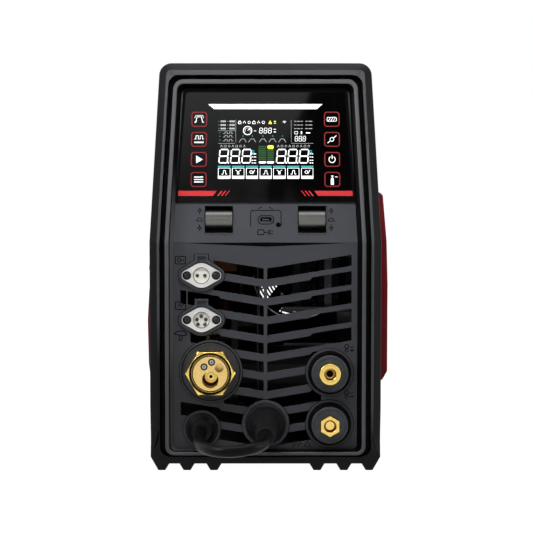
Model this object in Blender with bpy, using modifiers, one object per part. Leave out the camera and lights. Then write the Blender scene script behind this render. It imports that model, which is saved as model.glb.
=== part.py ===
"""Compact multi-process inverter welder (TIG, MIG and stick), as an assembly of separate pieces.

Frame: metres, +X to the right of someone facing the front, +Y to the back, +Z up.
The origin is on the ground under the middle of the case. The front faces -Y.
The upper front and the upper back lean towards the middle above LEAN_Z.
"""
import math

import bmesh
import bpy
from mathutils import Matrix, Vector

# ------------------------------------------------------------------ driving dimensions (metres)
GAP = 0.0003             # clearance between touching pieces
LEAN_Z = 0.219           # the case leans in above this height
LEAN_FRONT = math.tan(math.radians(15.0))
LEAN_REAR = math.tan(math.radians(8.0))
TAPER = 0.0425           # each side comes in by this much a metre of height above LEAN_Z

FRONT_Y = -0.240         # front face of the front bezel
REAR_Y = 0.240           # rear face of the rear bezel
REACH_Y = 0.2455         # the torch socket and the mains gland both reach this far
BEZEL_DEPTH = 0.055
BEZEL_HALF = 0.111       # half width of the case below LEAN_Z
BEZEL_TOP = 0.3928
FOOT_H = 0.0064          # height of the runners under the case
RIDGE_X = (0.0495, 0.0753, 0.0996)
RIDGE_TIP = 0.0033       # half width of a runner on the ground
RIDGE_ROOT = 0.0072

OPENING_HALF = 0.101     # opening in the bezels
OPENING_LOW = 0.0129
OPENING_TOP = 0.3804
RING_HALF = 0.0962       # raised ring of the inner frame
RING_LOW = 0.0136
RING_TOP = 0.3764
RING_INNER = 0.0926
RING_INNER_LOW = 0.0172
RING_INNER_TOP = 0.3721
PANEL_HALF = 0.0883      # panel seen inside the inner frame
PANEL_LOW = 0.0182
PANEL_TOP = 0.3680
RING_Y = -0.2385
FLANGE_Y = -0.2315
PANEL_Y = -0.2282        # face of the front panel
PANEL_THICK = 0.0030
SEAT_Y = PANEL_Y - GAP   # plane on which the fittings sit

SLOT_ROWS = 10
SLOT_TOP = 0.1936        # top edge of the first vent slot at the middle rib
SLOT_PITCH = 0.01803
SLOT_HEIGHT = 0.0108
SLOT_SLOPE = 0.1586
SLOT_STEP = 0.0023       # the outer part of a slot is taller by this much
SLOT_STEP_X = 0.0428
RIB_HALF = 0.0017
RING_SIDES = 20          # facets of the raised rings
SLOT_LEFT = (0.050, 0.050, 0.082, 0.050, 0.0723, 0.040, 0.040, 0.040, 0.082, 0.050)
SLOT_RIGHT = (0.0829, 0.0829, 0.0829, 0.0829, 0.0829, 0.055, 0.055, 0.0537, 0.050, 0.050)

TRIGGER = (-0.0614, 0.1869)     # centres on the front panel, as X and Z
CONTROL = (-0.0614, 0.1441)
EURO = (-0.0526, 0.0940)
POSITIVE = (0.0618, 0.0930)
NEGATIVE = (0.0618, 0.0433)
PARK = (0.0002, 0.0433)
GROMMET = (-0.0614, 0.0380)
ROLLER_X = 0.0448
ROLLER_Z = 0.2403
USB = (0.0004, 0.2401)
SCREEN_HALF = 0.0470
SCREEN_LOW = 0.2790
SCREEN_TOP = 0.3370

CASE_HALF = 0.1065       # outer face of the side panels
CASE_SKIN = 0.0016
SIDE_Y = 0.1845          # the side panels end here, below LEAN_Z
TRAY_HALF = 0.1042
FLOOR_Z = 0.0093         # what stands on the tray starts here
COVER_TOP = 0.3480
REACH_X = 0.1215         # widest point of the red side covers

DIVIDER_X = -0.0085
BOARD_X = 0.0880
HINGE = (-0.1095, 0.1800)       # door axis, as X and Y
LATCHES = ((-0.1500, 0.0900), (-0.1500, 0.1900))   # as Y and Z
FAN = (0.0400, 0.1580)          # fan centre on the rear panel, as X and Z
FAN_RADIUS = 0.0560
SWITCH = (-0.0640, 0.2900)
GLAND = (-0.0620, 0.0500)
GAS = (-0.0620, 0.1050)
GAS_STEM_Y = 0.2023      # inner end of the gas inlet

WIRE_X = EURO[0]
WIRE_Z = EURO[1]
FEED_Y = -0.1250
DRIVE_R = 0.0150
IDLER_R = 0.0120
NIP = 0.0005             # half the gap between the two feed rolls
ARM_PIVOT = (-0.1600, 0.1180)   # as Y and Z
KNOB_Y = -0.0850
SPOOL = (0.0700, 0.2000)        # spool axis, as Y and Z

LEAD_RADIUS = 0.0054
LEAD_ROUTE = (
    (-0.0614, -0.2433, 0.0380), (-0.0614, -0.2540, 0.0379), (-0.0618, -0.2680, 0.0372),
    (-0.0618, -0.2830, 0.0366), (-0.0602, -0.2980, 0.0361), (-0.0560, -0.3120, 0.0358),
    (-0.0487, -0.3240, 0.0357), (-0.0390, -0.3315, 0.0359), (-0.0280, -0.3343, 0.0365),
    (-0.0172, -0.3325, 0.0376), (-0.0080, -0.3268, 0.0390), (-0.0018, -0.3180, 0.0405),
    (0.0002, -0.3075, 0.0430), (0.0002, -0.2954, 0.0433),
)
BOOT_TIP_Y = -0.2950

# ------------------------------------------------------------------ scene, collections, finishes
for old in list(bpy.data.objects):
    bpy.data.objects.remove(old, do_unlink=True)

PARTS = bpy.data.collections.new("multi_process_welder")
TOOLS = bpy.data.collections.new("cutters")
bpy.context.scene.collection.children.link(PARTS)
bpy.context.scene.collection.children.link(TOOLS)

FINISHES = {
    "bezel_black": ((0.045, 0.046, 0.050), 0.45, 0.0),
    "panel_grey": ((0.060, 0.060, 0.065), 0.55, 0.0),
    "screen_gloss": ((0.010, 0.010, 0.012), 0.08, 0.0),
    "rubber_black": ((0.020, 0.020, 0.022), 0.60, 0.0),
    "red_gloss": ((0.300, 0.020, 0.025), 0.30, 0.0),
    "brass": ((0.830, 0.600, 0.200), 0.25, 1.0),
    "nickel": ((0.620, 0.610, 0.560), 0.30, 1.0),
    "cream_plastic": ((0.640, 0.620, 0.540), 0.50, 0.0),
    "sheet_black": ((0.030, 0.030, 0.032), 0.50, 0.3),
    "zinc_steel": ((0.520, 0.530, 0.540), 0.35, 1.0),
    "aluminium": ((0.700, 0.700, 0.720), 0.35, 1.0),
    "board_green": ((0.020, 0.160, 0.070), 0.45, 0.0),
    "copper": ((0.700, 0.350, 0.200), 0.30, 1.0),
    "core_grey": ((0.110, 0.110, 0.120), 0.60, 0.0),
}


def finish(name):
    """Returns the Principled material of that name, made on first use."""
    found = bpy.data.materials.get(name)
    if found:
        return found
    colour, roughness, metallic = FINISHES[name]
    made = bpy.data.materials.new(name)
    made.use_nodes = True
    shader = made.node_tree.nodes["Principled BSDF"]
    shader.inputs["Base Color"].default_value = (*colour, 1.0)
    shader.inputs["Roughness"].default_value = roughness
    shader.inputs["Metallic"].default_value = metallic
    return made


# ------------------------------------------------------------------ outlines
def rounded(corners, steps=4):
    """Outline through (u, v, radius) corners, with an arc of that radius at each."""
    points = []
    count = len(corners)
    for index, (u, v, radius) in enumerate(corners):
        here = Vector((u, v))
        if radius <= 0.0:
            points.append((u, v))
            continue
        back = (Vector(corners[index - 1][:2]) - here).normalized()
        ahead = (Vector(corners[(index + 1) % count][:2]) - here).normalized()
        half = back.angle(ahead) / 2.0
        centre = here + (back + ahead).normalized() * radius / math.sin(half)
        start = here + back * radius / math.tan(half) - centre
        end = here + ahead * radius / math.tan(half) - centre
        sweep = start.angle_signed(end)
        for step in range(steps + 1):
            spoke = start.copy()
            spoke.rotate(Matrix.Rotation(-sweep * step / steps, 2))
            points.append(tuple(centre + spoke))
    return points


def mirrored(half):
    """Closed outline from corners on the +u side, listed bottom to top."""
    return list(half) + [(-u, v, radius) for u, v, radius in reversed(half)]


def circle(centre, radius, sides=32):
    """Round outline."""
    turn = 2.0 * math.pi / sides
    return [(centre[0] + radius * math.cos(turn * k), centre[1] + radius * math.sin(turn * k))
            for k in range(sides)]


def rectangle(centre, width, height, radius=0.0, steps=4):
    """Rectangular outline with rounded corners."""
    u, v = centre
    w, h = width / 2.0, height / 2.0
    return rounded([(u + w, v - h, radius), (u + w, v + h, radius),
                    (u - w, v + h, radius), (u - w, v - h, radius)], steps)


def arch(half, low, top, radius_low, radius_top):
    """Outline of the case front: upright sides, drawn in above LEAN_Z."""
    half_top = half - TAPER * (top - LEAN_Z)
    return rounded(mirrored([(half, low, radius_low), (half, LEAN_Z, 0.0),
                             (half_top, top, radius_top)]))


def diamond(centre, middle_r, end_r, reach, tab=None):
    """Two-ear flange: a middle circle and two end circles in one tight outline.

    The tangent lines lean by phi, where cos(phi) = (middle_r - end_r) / reach.
    tab = (half width, height) adds a square tab on top.
    """
    phi = math.acos((middle_r - end_r) / reach)
    points = []

    def arc(at, radius, start, end, steps):
        for k in range(steps + 1):
            angle = start + (end - start) * k / steps
            points.append((centre[0] + at + radius * math.cos(angle),
                           centre[1] + radius * math.sin(angle)))

    arc(reach, end_r, -phi, phi, 5)
    if tab:
        width, height = tab
        edge = math.acos(width / middle_r)
        arc(0.0, middle_r, phi, max(phi, edge), 2)
        points.append((centre[0] + width, centre[1] + height))
        points.append((centre[0] - width, centre[1] + height))
        arc(0.0, middle_r, math.pi - max(phi, edge), math.pi - phi, 2)
    else:
        arc(0.0, middle_r, phi, math.pi - phi, 4)
    arc(-reach, end_r, math.pi - phi, math.pi + phi, 5)
    arc(0.0, middle_r, math.pi + phi, 2.0 * math.pi - phi, 4)
    kept = [points[0]]
    for point in points[1:]:
        if math.dist(point, kept[-1]) > 1e-5 and math.dist(point, kept[0]) > 1e-5:
            kept.append(point)
    return kept


def runner_corners():
    """Corners of the runners on the +X side, from the middle outwards, up to the last tip."""
    corners = []
    for x in RIDGE_X:
        corners += [(x - RIDGE_ROOT, FOOT_H, 0.0), (x - RIDGE_TIP, 0.0, 0.0),
                    (x + RIDGE_TIP, 0.0, 0.0), (x + RIDGE_ROOT, FOOT_H, 0.0)]
    return corners[:-1]


def case_outline():
    """Front outline of a bezel, with the runners under it."""
    half_top = BEZEL_HALF - TAPER * (BEZEL_TOP - LEAN_Z)
    half = runner_corners() + [(BEZEL_HALF - 0.0007, 0.0130, 0.002), (BEZEL_HALF, 0.0600, 0.0),
                               (BEZEL_HALF, LEAN_Z, 0.0), (half_top, BEZEL_TOP, 0.012)]
    return rounded(mirrored(half))


# ------------------------------------------------------------------ solids
FACING = {
    "X": Matrix(((0, 0, 1, 0), (1, 0, 0, 0), (0, 1, 0, 0), (0, 0, 0, 1))),
    "Y": Matrix(((1, 0, 0, 0), (0, 0, -1, 0), (0, 1, 0, 0), (0, 0, 0, 1))),
    "Z": Matrix.Identity(4),
}


def place(name, mesh, material, world=None):
    """Links a mesh as a named part, or as a hidden cutter where it has no material."""
    obj = bpy.data.objects.new(name, mesh)
    obj.matrix_world = world or Matrix.Identity(4)
    if material:
        mesh.materials.append(finish(material))
        PARTS.objects.link(obj)
    else:
        obj.hide_render = True
        obj.display_type = "WIRE"
        TOOLS.objects.link(obj)
    return obj


def evaluated_mesh(obj):
    """Mesh of an object as its modifiers or its curve give it, with the seams welded."""
    bpy.context.view_layer.update()
    graph = bpy.context.evaluated_depsgraph_get()
    mesh = bpy.data.meshes.new_from_object(obj.evaluated_get(graph))
    work = bmesh.new()
    work.from_mesh(mesh)
    bmesh.ops.remove_doubles(work, verts=work.verts, dist=1e-7)
    work.to_mesh(mesh)
    work.free()
    return mesh


def prism(name, facing, outlines, low, high, material=None):
    """Flat outline with holes, extruded from low to high along the facing axis.

    Outlines are (x, z) for facing Y, (y, z) for facing X and (x, y) for facing Z.
    """
    curve = bpy.data.curves.new(name, "CURVE")
    curve.dimensions = "2D"
    curve.fill_mode = "BOTH"
    curve.extrude = (high - low) / 2.0
    for outline in outlines:
        spline = curve.splines.new("POLY")
        spline.points.add(len(outline) - 1)
        for point, (u, v) in zip(spline.points, outline):
            point.co = (u, v, 0.0, 1.0)
        spline.use_cyclic_u = True
    flat = bpy.data.objects.new(name + "_outline", curve)
    TOOLS.objects.link(flat)
    mesh = evaluated_mesh(flat)
    bpy.data.objects.remove(flat, do_unlink=True)
    middle = (low + high) / 2.0
    shift = {"X": (middle, 0, 0), "Y": (0, middle, 0), "Z": (0, 0, middle)}[facing]
    return place(name, mesh, material, Matrix.Translation(shift) @ FACING[facing])


def box(name, low, high, material=None, bevel=0.0):
    """Cuboid between two corners."""
    low, high = Vector(low), Vector(high)
    work = bmesh.new()
    bmesh.ops.create_cube(work, size=1.0, matrix=Matrix.Diagonal((*(high - low), 1.0)))
    mesh = bpy.data.meshes.new(name)
    work.to_mesh(mesh)
    work.free()
    obj = place(name, mesh, material, Matrix.Translation((low + high) / 2.0))
    if bevel:
        rounding = obj.modifiers.new("rounding", "BEVEL")
        rounding.width = bevel
        rounding.segments = 2
    return obj


def aimed(start, along):
    """Matrix that puts local +Z along a direction, from a start point."""
    return Matrix.Translation(start) @ Vector(along).to_track_quat("Z", "Y").to_matrix().to_4x4()


def rod(name, start, along, radius, length, material=None, sides=32, tip=None):
    """Cylinder or cone that starts at a point and runs along a direction."""
    work = bmesh.new()
    bmesh.ops.create_cone(work, cap_ends=True, segments=sides, radius1=radius,
                          radius2=radius if tip is None else tip, depth=length,
                          matrix=Matrix.Translation((0, 0, length / 2.0)))
    mesh = bpy.data.meshes.new(name)
    work.to_mesh(mesh)
    work.free()
    mesh.shade_smooth()
    mesh.set_sharp_from_angle(angle=math.radians(40))
    return place(name, mesh, material, aimed(start, along))


def turned(name, start, along, profile, material=None, steps=24, ring=False):
    """Turned piece. The profile is (radius, height) down the outer side, top to bottom."""
    count = len(profile)
    edges = [(k, k + 1) for k in range(count - 1)]
    if ring:
        edges.append((count - 1, 0))
    mesh = bpy.data.meshes.new(name)
    mesh.from_pydata([(radius, 0.0, height) for radius, height in profile], edges, [])
    obj = place(name, mesh, material, aimed(start, along))
    turn = obj.modifiers.new("turn", "SCREW")
    turn.steps = steps
    turn.render_steps = steps
    turn.use_merge_vertices = True
    turn.merge_threshold = 1e-6
    return obj


def combine(obj, operation, tools):
    """Adds one Boolean for each tool. Joined pieces move to the hidden tools."""
    for tool in tools:
        step = obj.modifiers.new(operation.lower(), "BOOLEAN")
        step.operation = operation
        step.solver = "EXACT"
        step.object = tool
    return obj


def cut(obj, *tools):
    """Takes the tools away from the object."""
    return combine(obj, "DIFFERENCE", tools)


def join(obj, *tools):
    """Joins the tools to the object as one body."""
    return combine(obj, "UNION", tools)


def merged(name, pieces):
    """Several separate cutters as one mesh."""
    work = bmesh.new()
    for piece in pieces:
        mesh = evaluated_mesh(piece)
        mesh.transform(piece.matrix_world)
        work.from_mesh(mesh)
        bpy.data.meshes.remove(mesh)
        bpy.data.objects.remove(piece, do_unlink=True)
    mesh = bpy.data.meshes.new(name)
    work.to_mesh(mesh)
    work.free()
    return place(name, mesh, None)


def settle(obj):
    """Turns the object's modifiers into its mesh."""
    mesh = evaluated_mesh(obj)
    obj.modifiers.clear()
    obj.data = mesh
    flatten(mesh)
    return obj


def flatten(mesh):
    """Merges the faces of a mesh that lie in one plane, where that keeps its surface area."""
    work = bmesh.new()
    work.from_mesh(mesh)
    area = sum(face.calc_area() for face in work.faces)
    bmesh.ops.dissolve_limit(work, angle_limit=0.0005, verts=work.verts, edges=work.edges)
    bmesh.ops.triangulate(work, faces=work.faces)
    if abs(sum(face.calc_area() for face in work.faces) - area) < 1e-5 * area:
        work.to_mesh(mesh)
    work.free()


def lean(obj):
    """Leans everything above LEAN_Z in towards the middle of the case."""
    settle(obj)
    world = obj.matrix_world.copy()
    work = bmesh.new()
    work.from_mesh(obj.data)
    work.transform(world)
    bmesh.ops.bisect_plane(work, geom=work.verts[:] + work.edges[:] + work.faces[:],
                           plane_co=(0, 0, LEAN_Z), plane_no=(0, 0, 1))
    for vertex in work.verts:
        rise = max(0.0, vertex.co.z - LEAN_Z)
        vertex.co.y += rise * (LEAN_FRONT if vertex.co.y < 0.0 else -LEAN_REAR)
    work.transform(world.inverted())
    work.to_mesh(obj.data)
    work.free()
    flatten(obj.data)
    return obj


def leaned_y(y, z):
    """Where a depth on the upright front lands after the lean."""
    return y + max(0.0, z - LEAN_Z) * LEAN_FRONT


def pivot(obj, point):
    """Moves the object's origin to a point on its joint's axis."""
    world = obj.matrix_world.copy()
    aim = world.to_3x3().to_4x4()
    target = Matrix.Translation(point) @ aim
    obj.data.transform(target.inverted() @ world)
    obj.matrix_world = target
    return obj


# ------------------------------------------------------------------ front of the case
def bezel(name, face_y, inward):
    """One hoop of the case: a solid front band, a hollow behind it and a closed top."""
    back_y = face_y + inward * BEZEL_DEPTH
    span = sorted((face_y, back_y))
    hoop = prism(name, "Y", [case_outline()], *span, "bezel_black")

    def hollow(label, outline, start, end):
        ends = sorted((face_y + inward * start, face_y + inward * end))
        return prism(name + label, "Y", [outline], *ends)

    mouth = hollow("_mouth", arch(OPENING_HALF, OPENING_LOW, OPENING_TOP, 0.010, 0.010), -0.001, 0.018)
    inside = hollow("_inside", arch(0.107, FOOT_H + 0.0036, COVER_TOP - 0.002, 0.008, 0.004), 0.0174, 0.056)
    peak = rounded(mirrored([(0.1015, 0.3000, 0.001), (0.0975, 0.3860, 0.008)]))
    crown = hollow("_crown", peak, 0.0170, BEZEL_DEPTH - 0.004)
    cut(hoop, mouth, inside, crown)
    return lean(hoop)


def inner_frame():
    """Frame between the bezel and the panel: a raised ring and a drafted inner wall."""
    flange = arch(OPENING_HALF - GAP, OPENING_LOW + GAP, OPENING_TOP - GAP, 0.010, 0.010)
    frame = prism("inner_frame", "Y", [flange], RING_Y, PANEL_Y - GAP, "panel_grey")
    wide = arch(OPENING_HALF + 0.002, OPENING_LOW - 0.002, OPENING_TOP + 0.002, 0.010, 0.010)
    ring = arch(RING_HALF, RING_LOW, RING_TOP, 0.0085, 0.010)
    groove = prism("frame_groove", "Y", [wide, ring], RING_Y - 0.001, FLANGE_Y)
    near = arch(RING_INNER, RING_INNER_LOW, RING_INNER_TOP, 0.0060, 0.0070)
    far = arch(PANEL_HALF, PANEL_LOW, PANEL_TOP, 0.0050, 0.0060)
    draft = loft("frame_draft", near, RING_Y - 0.0005, far, PANEL_Y + 0.0005)
    cut(frame, groove, draft)
    return lean(frame)


def loft(name, near, near_y, far, far_y):
    """Cutter that blends one outline into another with as many points."""
    count = len(near)
    work = bmesh.new()
    front = [work.verts.new((x, near_y, z)) for x, z in near]
    back = [work.verts.new((x, far_y, z)) for x, z in far]
    for k in range(count):
        after = (k + 1) % count
        work.faces.new((front[k], front[after], back[after], back[k]))
    work.faces.new(front[::-1])
    work.faces.new(back)
    bmesh.ops.recalc_face_normals(work, faces=work.faces)
    mesh = bpy.data.meshes.new(name)
    work.to_mesh(mesh)
    work.free()
    return place(name, mesh, None)


def slot_outline(row, side):
    """One vent slot on one side of the middle rib, rising outwards."""
    reach = SLOT_RIGHT[row] if side > 0 else SLOT_LEFT[row]
    top = SLOT_TOP - SLOT_PITCH * row
    step = 0.0 if row == 0 or reach <= SLOT_STEP_X else SLOT_STEP
    points = [(RIB_HALF, top - SLOT_HEIGHT), (reach, top - SLOT_HEIGHT + SLOT_SLOPE * reach),
              (reach, top + step + SLOT_SLOPE * reach)]
    if step:
        points += [(SLOT_STEP_X + 0.0024, top + step + SLOT_SLOPE * (SLOT_STEP_X + 0.0024)),
                   (SLOT_STEP_X, top + SLOT_SLOPE * SLOT_STEP_X)]
    points.append((RIB_HALF, top))
    return [(side * x, z) for x, z in points]


def socket_outlines(grow):
    """Outlines of the raised borders round the fittings, grown by a margin."""
    outlines = [diamond(at, 0.0155 + grow, 0.0081 + grow, 0.0141, (0.0062 + grow, 0.0200 + grow))
                for at in (TRIGGER, CONTROL)]
    rings = ((EURO, 0.0302), (POSITIVE, 0.0229), (NEGATIVE, 0.0229), (PARK, 0.0227), (GROMMET, 0.0179))
    outlines += [circle(at, radius + grow, RING_SIDES) for at, radius in rings]
    return outlines


def border_holes():
    """Inner outlines of the same borders."""
    holes = [diamond(at, 0.0127, 0.0056, 0.0141, (0.0042, 0.0182)) for at in (TRIGGER, CONTROL)]
    rings = ((EURO, 0.0287), (POSITIVE, 0.0208), (NEGATIVE, 0.0208), (PARK, 0.0194), (GROMMET, 0.0160))
    return holes + [circle(at, radius, RING_SIDES) for at, radius in rings]


def front_panel():
    """Moulded panel: vent slots, windows, holes for the fittings and their raised borders."""
    outline = arch(0.0970, 0.0145, 0.3770, 0.008, 0.009)
    windows = [rectangle((side * ROLLER_X, ROLLER_Z), 0.0276, 0.0262, 0.001, 2) for side in (-1, 1)]
    windows.append(rectangle(USB, 0.0137, 0.0068, 0.0033))
    windows.append(rectangle((0.0, (SCREEN_LOW + SCREEN_TOP) / 2.0), 0.0950, 0.0590))
    windows += [circle(at, 0.0098, 16) for at in (TRIGGER, CONTROL)]
    windows += [circle(EURO, 0.0215, 20), circle(POSITIVE, 0.0128, 16), circle(NEGATIVE, 0.0128, 16)]
    windows += [circle(PARK, 0.0118, 16), circle(GROMMET, 0.0118, 16)]
    panel = prism("front_panel", "Y", [outline] + windows, PANEL_Y, PANEL_Y + PANEL_THICK, "panel_grey")
    rims = [prism("border", "Y", [outer, inner], PANEL_Y - 0.0016, PANEL_Y + 0.001)
            for outer, inner in zip(socket_outlines(0.0), border_holes())]
    posts = [rod("post", (x, PANEL_Y + 0.002, z), (0, 1, 0), 0.003, 0.0209, None, 10)
             for x in (-0.078, 0.078) for z in (0.2250, 0.3470)]
    slots = [prism("slot", "Y", [slot_outline(row, side)], PANEL_Y - 0.01, PANEL_Y + 0.01)
             for row in range(SLOT_ROWS) for side in (-1, 1)]
    kept = [prism("kept", "Y", [border], PANEL_Y - 0.02, PANEL_Y + 0.02)
            for border in socket_outlines(0.0004)]
    slots = merged("panel_slots", slots)
    cut(slots, merged("panel_kept", kept))
    join(panel, merged("panel_borders", rims), merged("panel_posts", posts))
    cut(panel, slots)
    return lean(panel)


def display():
    """Glossy overlay with touch zones, the screen module behind it and the control board."""
    sheet = rounded(mirrored([(0.0861, 0.2573, 0.002), (0.0805, 0.3652, 0.003)]))
    lean(prism("display_glass", "Y", [sheet], PANEL_Y - GAP - 0.0014, PANEL_Y - GAP, "screen_gloss"))
    middle = (SCREEN_LOW + SCREEN_TOP) / 2.0
    body = rectangle((0.0, middle), 2.0 * SCREEN_HALF, SCREEN_TOP - SCREEN_LOW)
    lean(prism("display_module", "Y", [body], PANEL_Y, -0.2056, "core_grey"))
    board = rectangle((0.0, 0.2860), 0.1640, 0.1300, 0.002, 2)
    lean(prism("control_board", "Y", [board], -0.2050, -0.2034, "board_green"))


def roller(side, label):
    """Knurled thumb roller on its axle, and the sprung carrier that lets it be pushed."""
    x = side * ROLLER_X
    y = leaned_y(-0.2225, ROLLER_Z)
    wheel = turned("roller_" + label, (x - 0.0168, y, ROLLER_Z), (1, 0, 0),
                   [(0.0, 0.0336), (0.0015, 0.0336), (0.0015, 0.0298), (0.0080, 0.0298), (0.0086, 0.0292),
                    (0.0086, 0.0044), (0.0080, 0.0038), (0.0015, 0.0038), (0.0015, 0.0), (0.0, 0.0)],
                   "nickel", 20)
    settle(wheel)
    pivot(wheel, (x, y, ROLLER_Z))
    u = [(x - 0.0185, -0.2248), (x - 0.0155, -0.2248), (x - 0.0155, -0.2100), (x + 0.0155, -0.2100),
         (x + 0.0155, -0.2248), (x + 0.0185, -0.2248), (x + 0.0185, -0.2072), (x - 0.0185, -0.2072)]
    yoke = prism("roller_carrier_" + label, "Z", [u], ROLLER_Z - 0.0060, ROLLER_Z + 0.0060, "core_grey")
    lean(yoke)
    cut(yoke, rod("axle_hole", (x - 0.03, y, ROLLER_Z), (1, 0, 0), 0.0018, 0.06, None, 16))


def usb_socket():
    """Metal service socket behind its oval hole."""
    shell = rectangle(USB, 0.0131, 0.0062, 0.0030)
    socket = prism("usb_socket", "Y", [shell], PANEL_Y + 0.0008, -0.2056, "nickel")
    oval = rectangle(USB, 0.0104, 0.0036, 0.0016)
    mouth = prism("usb_mouth", "Y", [oval], PANEL_Y - 0.002, PANEL_Y + 0.0070)
    cut(socket, mouth)
    lean(socket)


# ------------------------------------------------------------------ fittings on the front panel
def round_socket(name, at):
    """Round multi-pin socket with a two-ear flange, and its insulating insert."""
    x, z = at
    holes = [circle((x + ear, z), 0.0021, 8) for ear in (-0.0141, 0.0141)]
    flange = prism(name + "_socket", "Y", [diamond(at, 0.0119, 0.0049, 0.0141)] + holes,
                   SEAT_Y - 0.0020, SEAT_Y, "nickel")
    barrel = rod(name + "_barrel", (x, SEAT_Y - 0.0046, z), (0, 1, 0), 0.0091, 0.0250, None, 20)
    bore = rod(name + "_bore", (x, SEAT_Y - 0.0060, z), (0, 1, 0), 0.0079, 0.0200, None, 20)
    join(flange, barrel)
    cut(flange, bore)
    rod(name + "_insert", (x, SEAT_Y - 0.0034, z), (0, 1, 0), 0.0075, 0.0165, "cream_plastic", 20)


def torch_socket():
    """Torch socket: black disc and a brass body with a hexagon, a wire bore, gas and pin holes."""
    x, z = EURO
    front = -REACH_Y
    turned("euro_insulator", (x, SEAT_Y, z), (0, -1, 0),
           [(0.0210, 0.0030), (0.0275, 0.0030), (0.0283, 0.0022), (0.0283, 0.0), (0.0210, 0.0)],
           "rubber_black", 24, ring=True)
    seat = SEAT_Y - 0.0033
    body = rod("euro_connector", (x, front, z), (0, 1, 0), 0.0204, -0.1900 - front, "brass", 24)
    hexagon = rod("euro_hexagon", (x, seat - 0.0055, z), (0, 1, 0), 0.02375, 0.0055, None, 6)
    hexagon.data.transform(Matrix.Rotation(math.radians(30), 4, "Z"))
    wire = rod("euro_wire_bore", (x, front - 0.001, z - 0.0059), (0, 1, 0), 0.0080, 0.0310, None, 14)
    liner = rod("euro_liner_hole", (x, front, z - 0.0059), (0, 1, 0), 0.0015, 0.0700, None, 10)
    gas = rod("euro_gas_hole", (x + 0.0085, front - 0.001, z + 0.0053), (0, 1, 0), 0.0039, 0.0140, None, 12)
    pins = [rod("euro_pin_hole", (x + dx, front - 0.001, z + dz), (0, 1, 0), 0.0032, 0.0100, None, 10)
            for dx, dz in ((-0.0059, 0.0067), (0.0013, 0.0111))]
    join(body, hexagon)
    cut(body, wire, liner, gas, *pins)


def terminal(name, at, brass):
    """Round welding terminal: stepped black insulator with a brass piece in it."""
    x, z = at
    turned(name + "_insulator", (x, SEAT_Y, z), (0, -1, 0),
           [(0.0108, 0.0120), (0.0155, 0.0120), (0.0163, 0.0112), (0.0163, 0.0075), (0.0196, 0.0075),
            (0.0204, 0.0067), (0.0204, 0.0), (0.0120, 0.0), (0.0120, -0.0090), (0.0108, -0.0090)],
           "rubber_black", 24, ring=True)
    brass(name + "_terminal", x, z)


def round_brass(name, x, z):
    """Brass sleeve with a stepped bore."""
    body = rod(name, (x, SEAT_Y - 0.0150, z), (0, 1, 0), 0.0102, 0.0500, "brass")
    mouth = rod(name + "_mouth", (x, SEAT_Y - 0.0160, z), (0, 1, 0), 0.0060, 0.0075, None, 24)
    bore = rod(name + "_bore", (x, SEAT_Y - 0.0160, z), (0, 1, 0), 0.0032, 0.0300, None, 16)
    cut(body, mouth, bore)


def hex_brass(name, x, z):
    """Brass hexagon with a blind bore."""
    body = rod(name, (x, SEAT_Y - 0.0100, z), (0, 1, 0), 0.0102, 0.0450, "brass")
    hexagon = rod(name + "_hexagon", (x, SEAT_Y - 0.0170, z), (0, 1, 0), 0.0103, 0.0080, None, 6)
    bore = rod(name + "_bore", (x, SEAT_Y - 0.0180, z), (0, 1, 0), 0.0054, 0.0220, None, 24)
    join(body, hexagon)
    cut(body, bore)


def park_and_lead():
    """Middle socket, the boot of the plug in it, the grommet, and the short lead between."""
    x, z = PARK
    turned("park_socket", (x, SEAT_Y, z), (0, -1, 0),
           [(0.0, 0.0045), (0.0180, 0.0045), (0.0190, 0.0035), (0.0190, 0.0), (0.0110, 0.0),
            (0.0110, -0.0300), (0.0, -0.0300)], "rubber_black")
    base = SEAT_Y - 0.0045 - GAP
    length = base - BOOT_TIP_Y
    boot = [(0.0, length), (0.0080, length), (0.0087, length - 0.0008), (0.0090, length - 0.006),
            (0.0112, length - 0.024), (0.0140, length - 0.040), (0.0170, 0.010), (0.0186, 0.006),
            (0.0186, 0.0), (0.0, 0.0)]
    turned("plug_boot", (x, base, z), (0, -1, 0), boot, "rubber_black")
    x, z = GROMMET
    turned("lead_grommet", (x, SEAT_Y, z), (0, -1, 0),
           [(0.0, 0.0145), (0.0092, 0.0145), (0.0099, 0.0138), (0.0106, 0.0060), (0.0130, 0.0030),
            (0.0155, 0.0020), (0.0155, 0.0), (0.0110, 0.0), (0.0110, -0.0080), (0.0, -0.0080)],
           "rubber_black")
    lead = bpy.data.curves.new("polarity_lead", "CURVE")
    lead.dimensions = "3D"
    lead.bevel_depth = LEAD_RADIUS
    lead.bevel_resolution = 2
    lead.use_fill_caps = True
    route = smooth_route(LEAD_ROUTE, 2)
    spline = lead.splines.new("POLY")
    spline.points.add(len(route) - 1)
    for point, place_ in zip(spline.points, route):
        point.co = (*place_, 1.0)
    lead.materials.append(finish("rubber_black"))
    PARTS.objects.link(bpy.data.objects.new("polarity_lead", lead))


def smooth_route(points, parts):
    """Catmull-Rom curve through the points, with each span in so many parts."""
    points = [Vector(point) for point in points]
    padded = [2 * points[0] - points[1]] + points + [2 * points[-1] - points[-2]]
    route = []
    for k in range(len(points) - 1):
        a, b, c, d = padded[k:k + 4]
        for part in range(parts):
            t = part / parts
            route.append(0.5 * (2 * b + (c - a) * t + (2 * a - 5 * b + 4 * c - d) * t ** 2
                                + (3 * b - a - 3 * c + d) * t ** 3))
    return route + [points[-1]]


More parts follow.
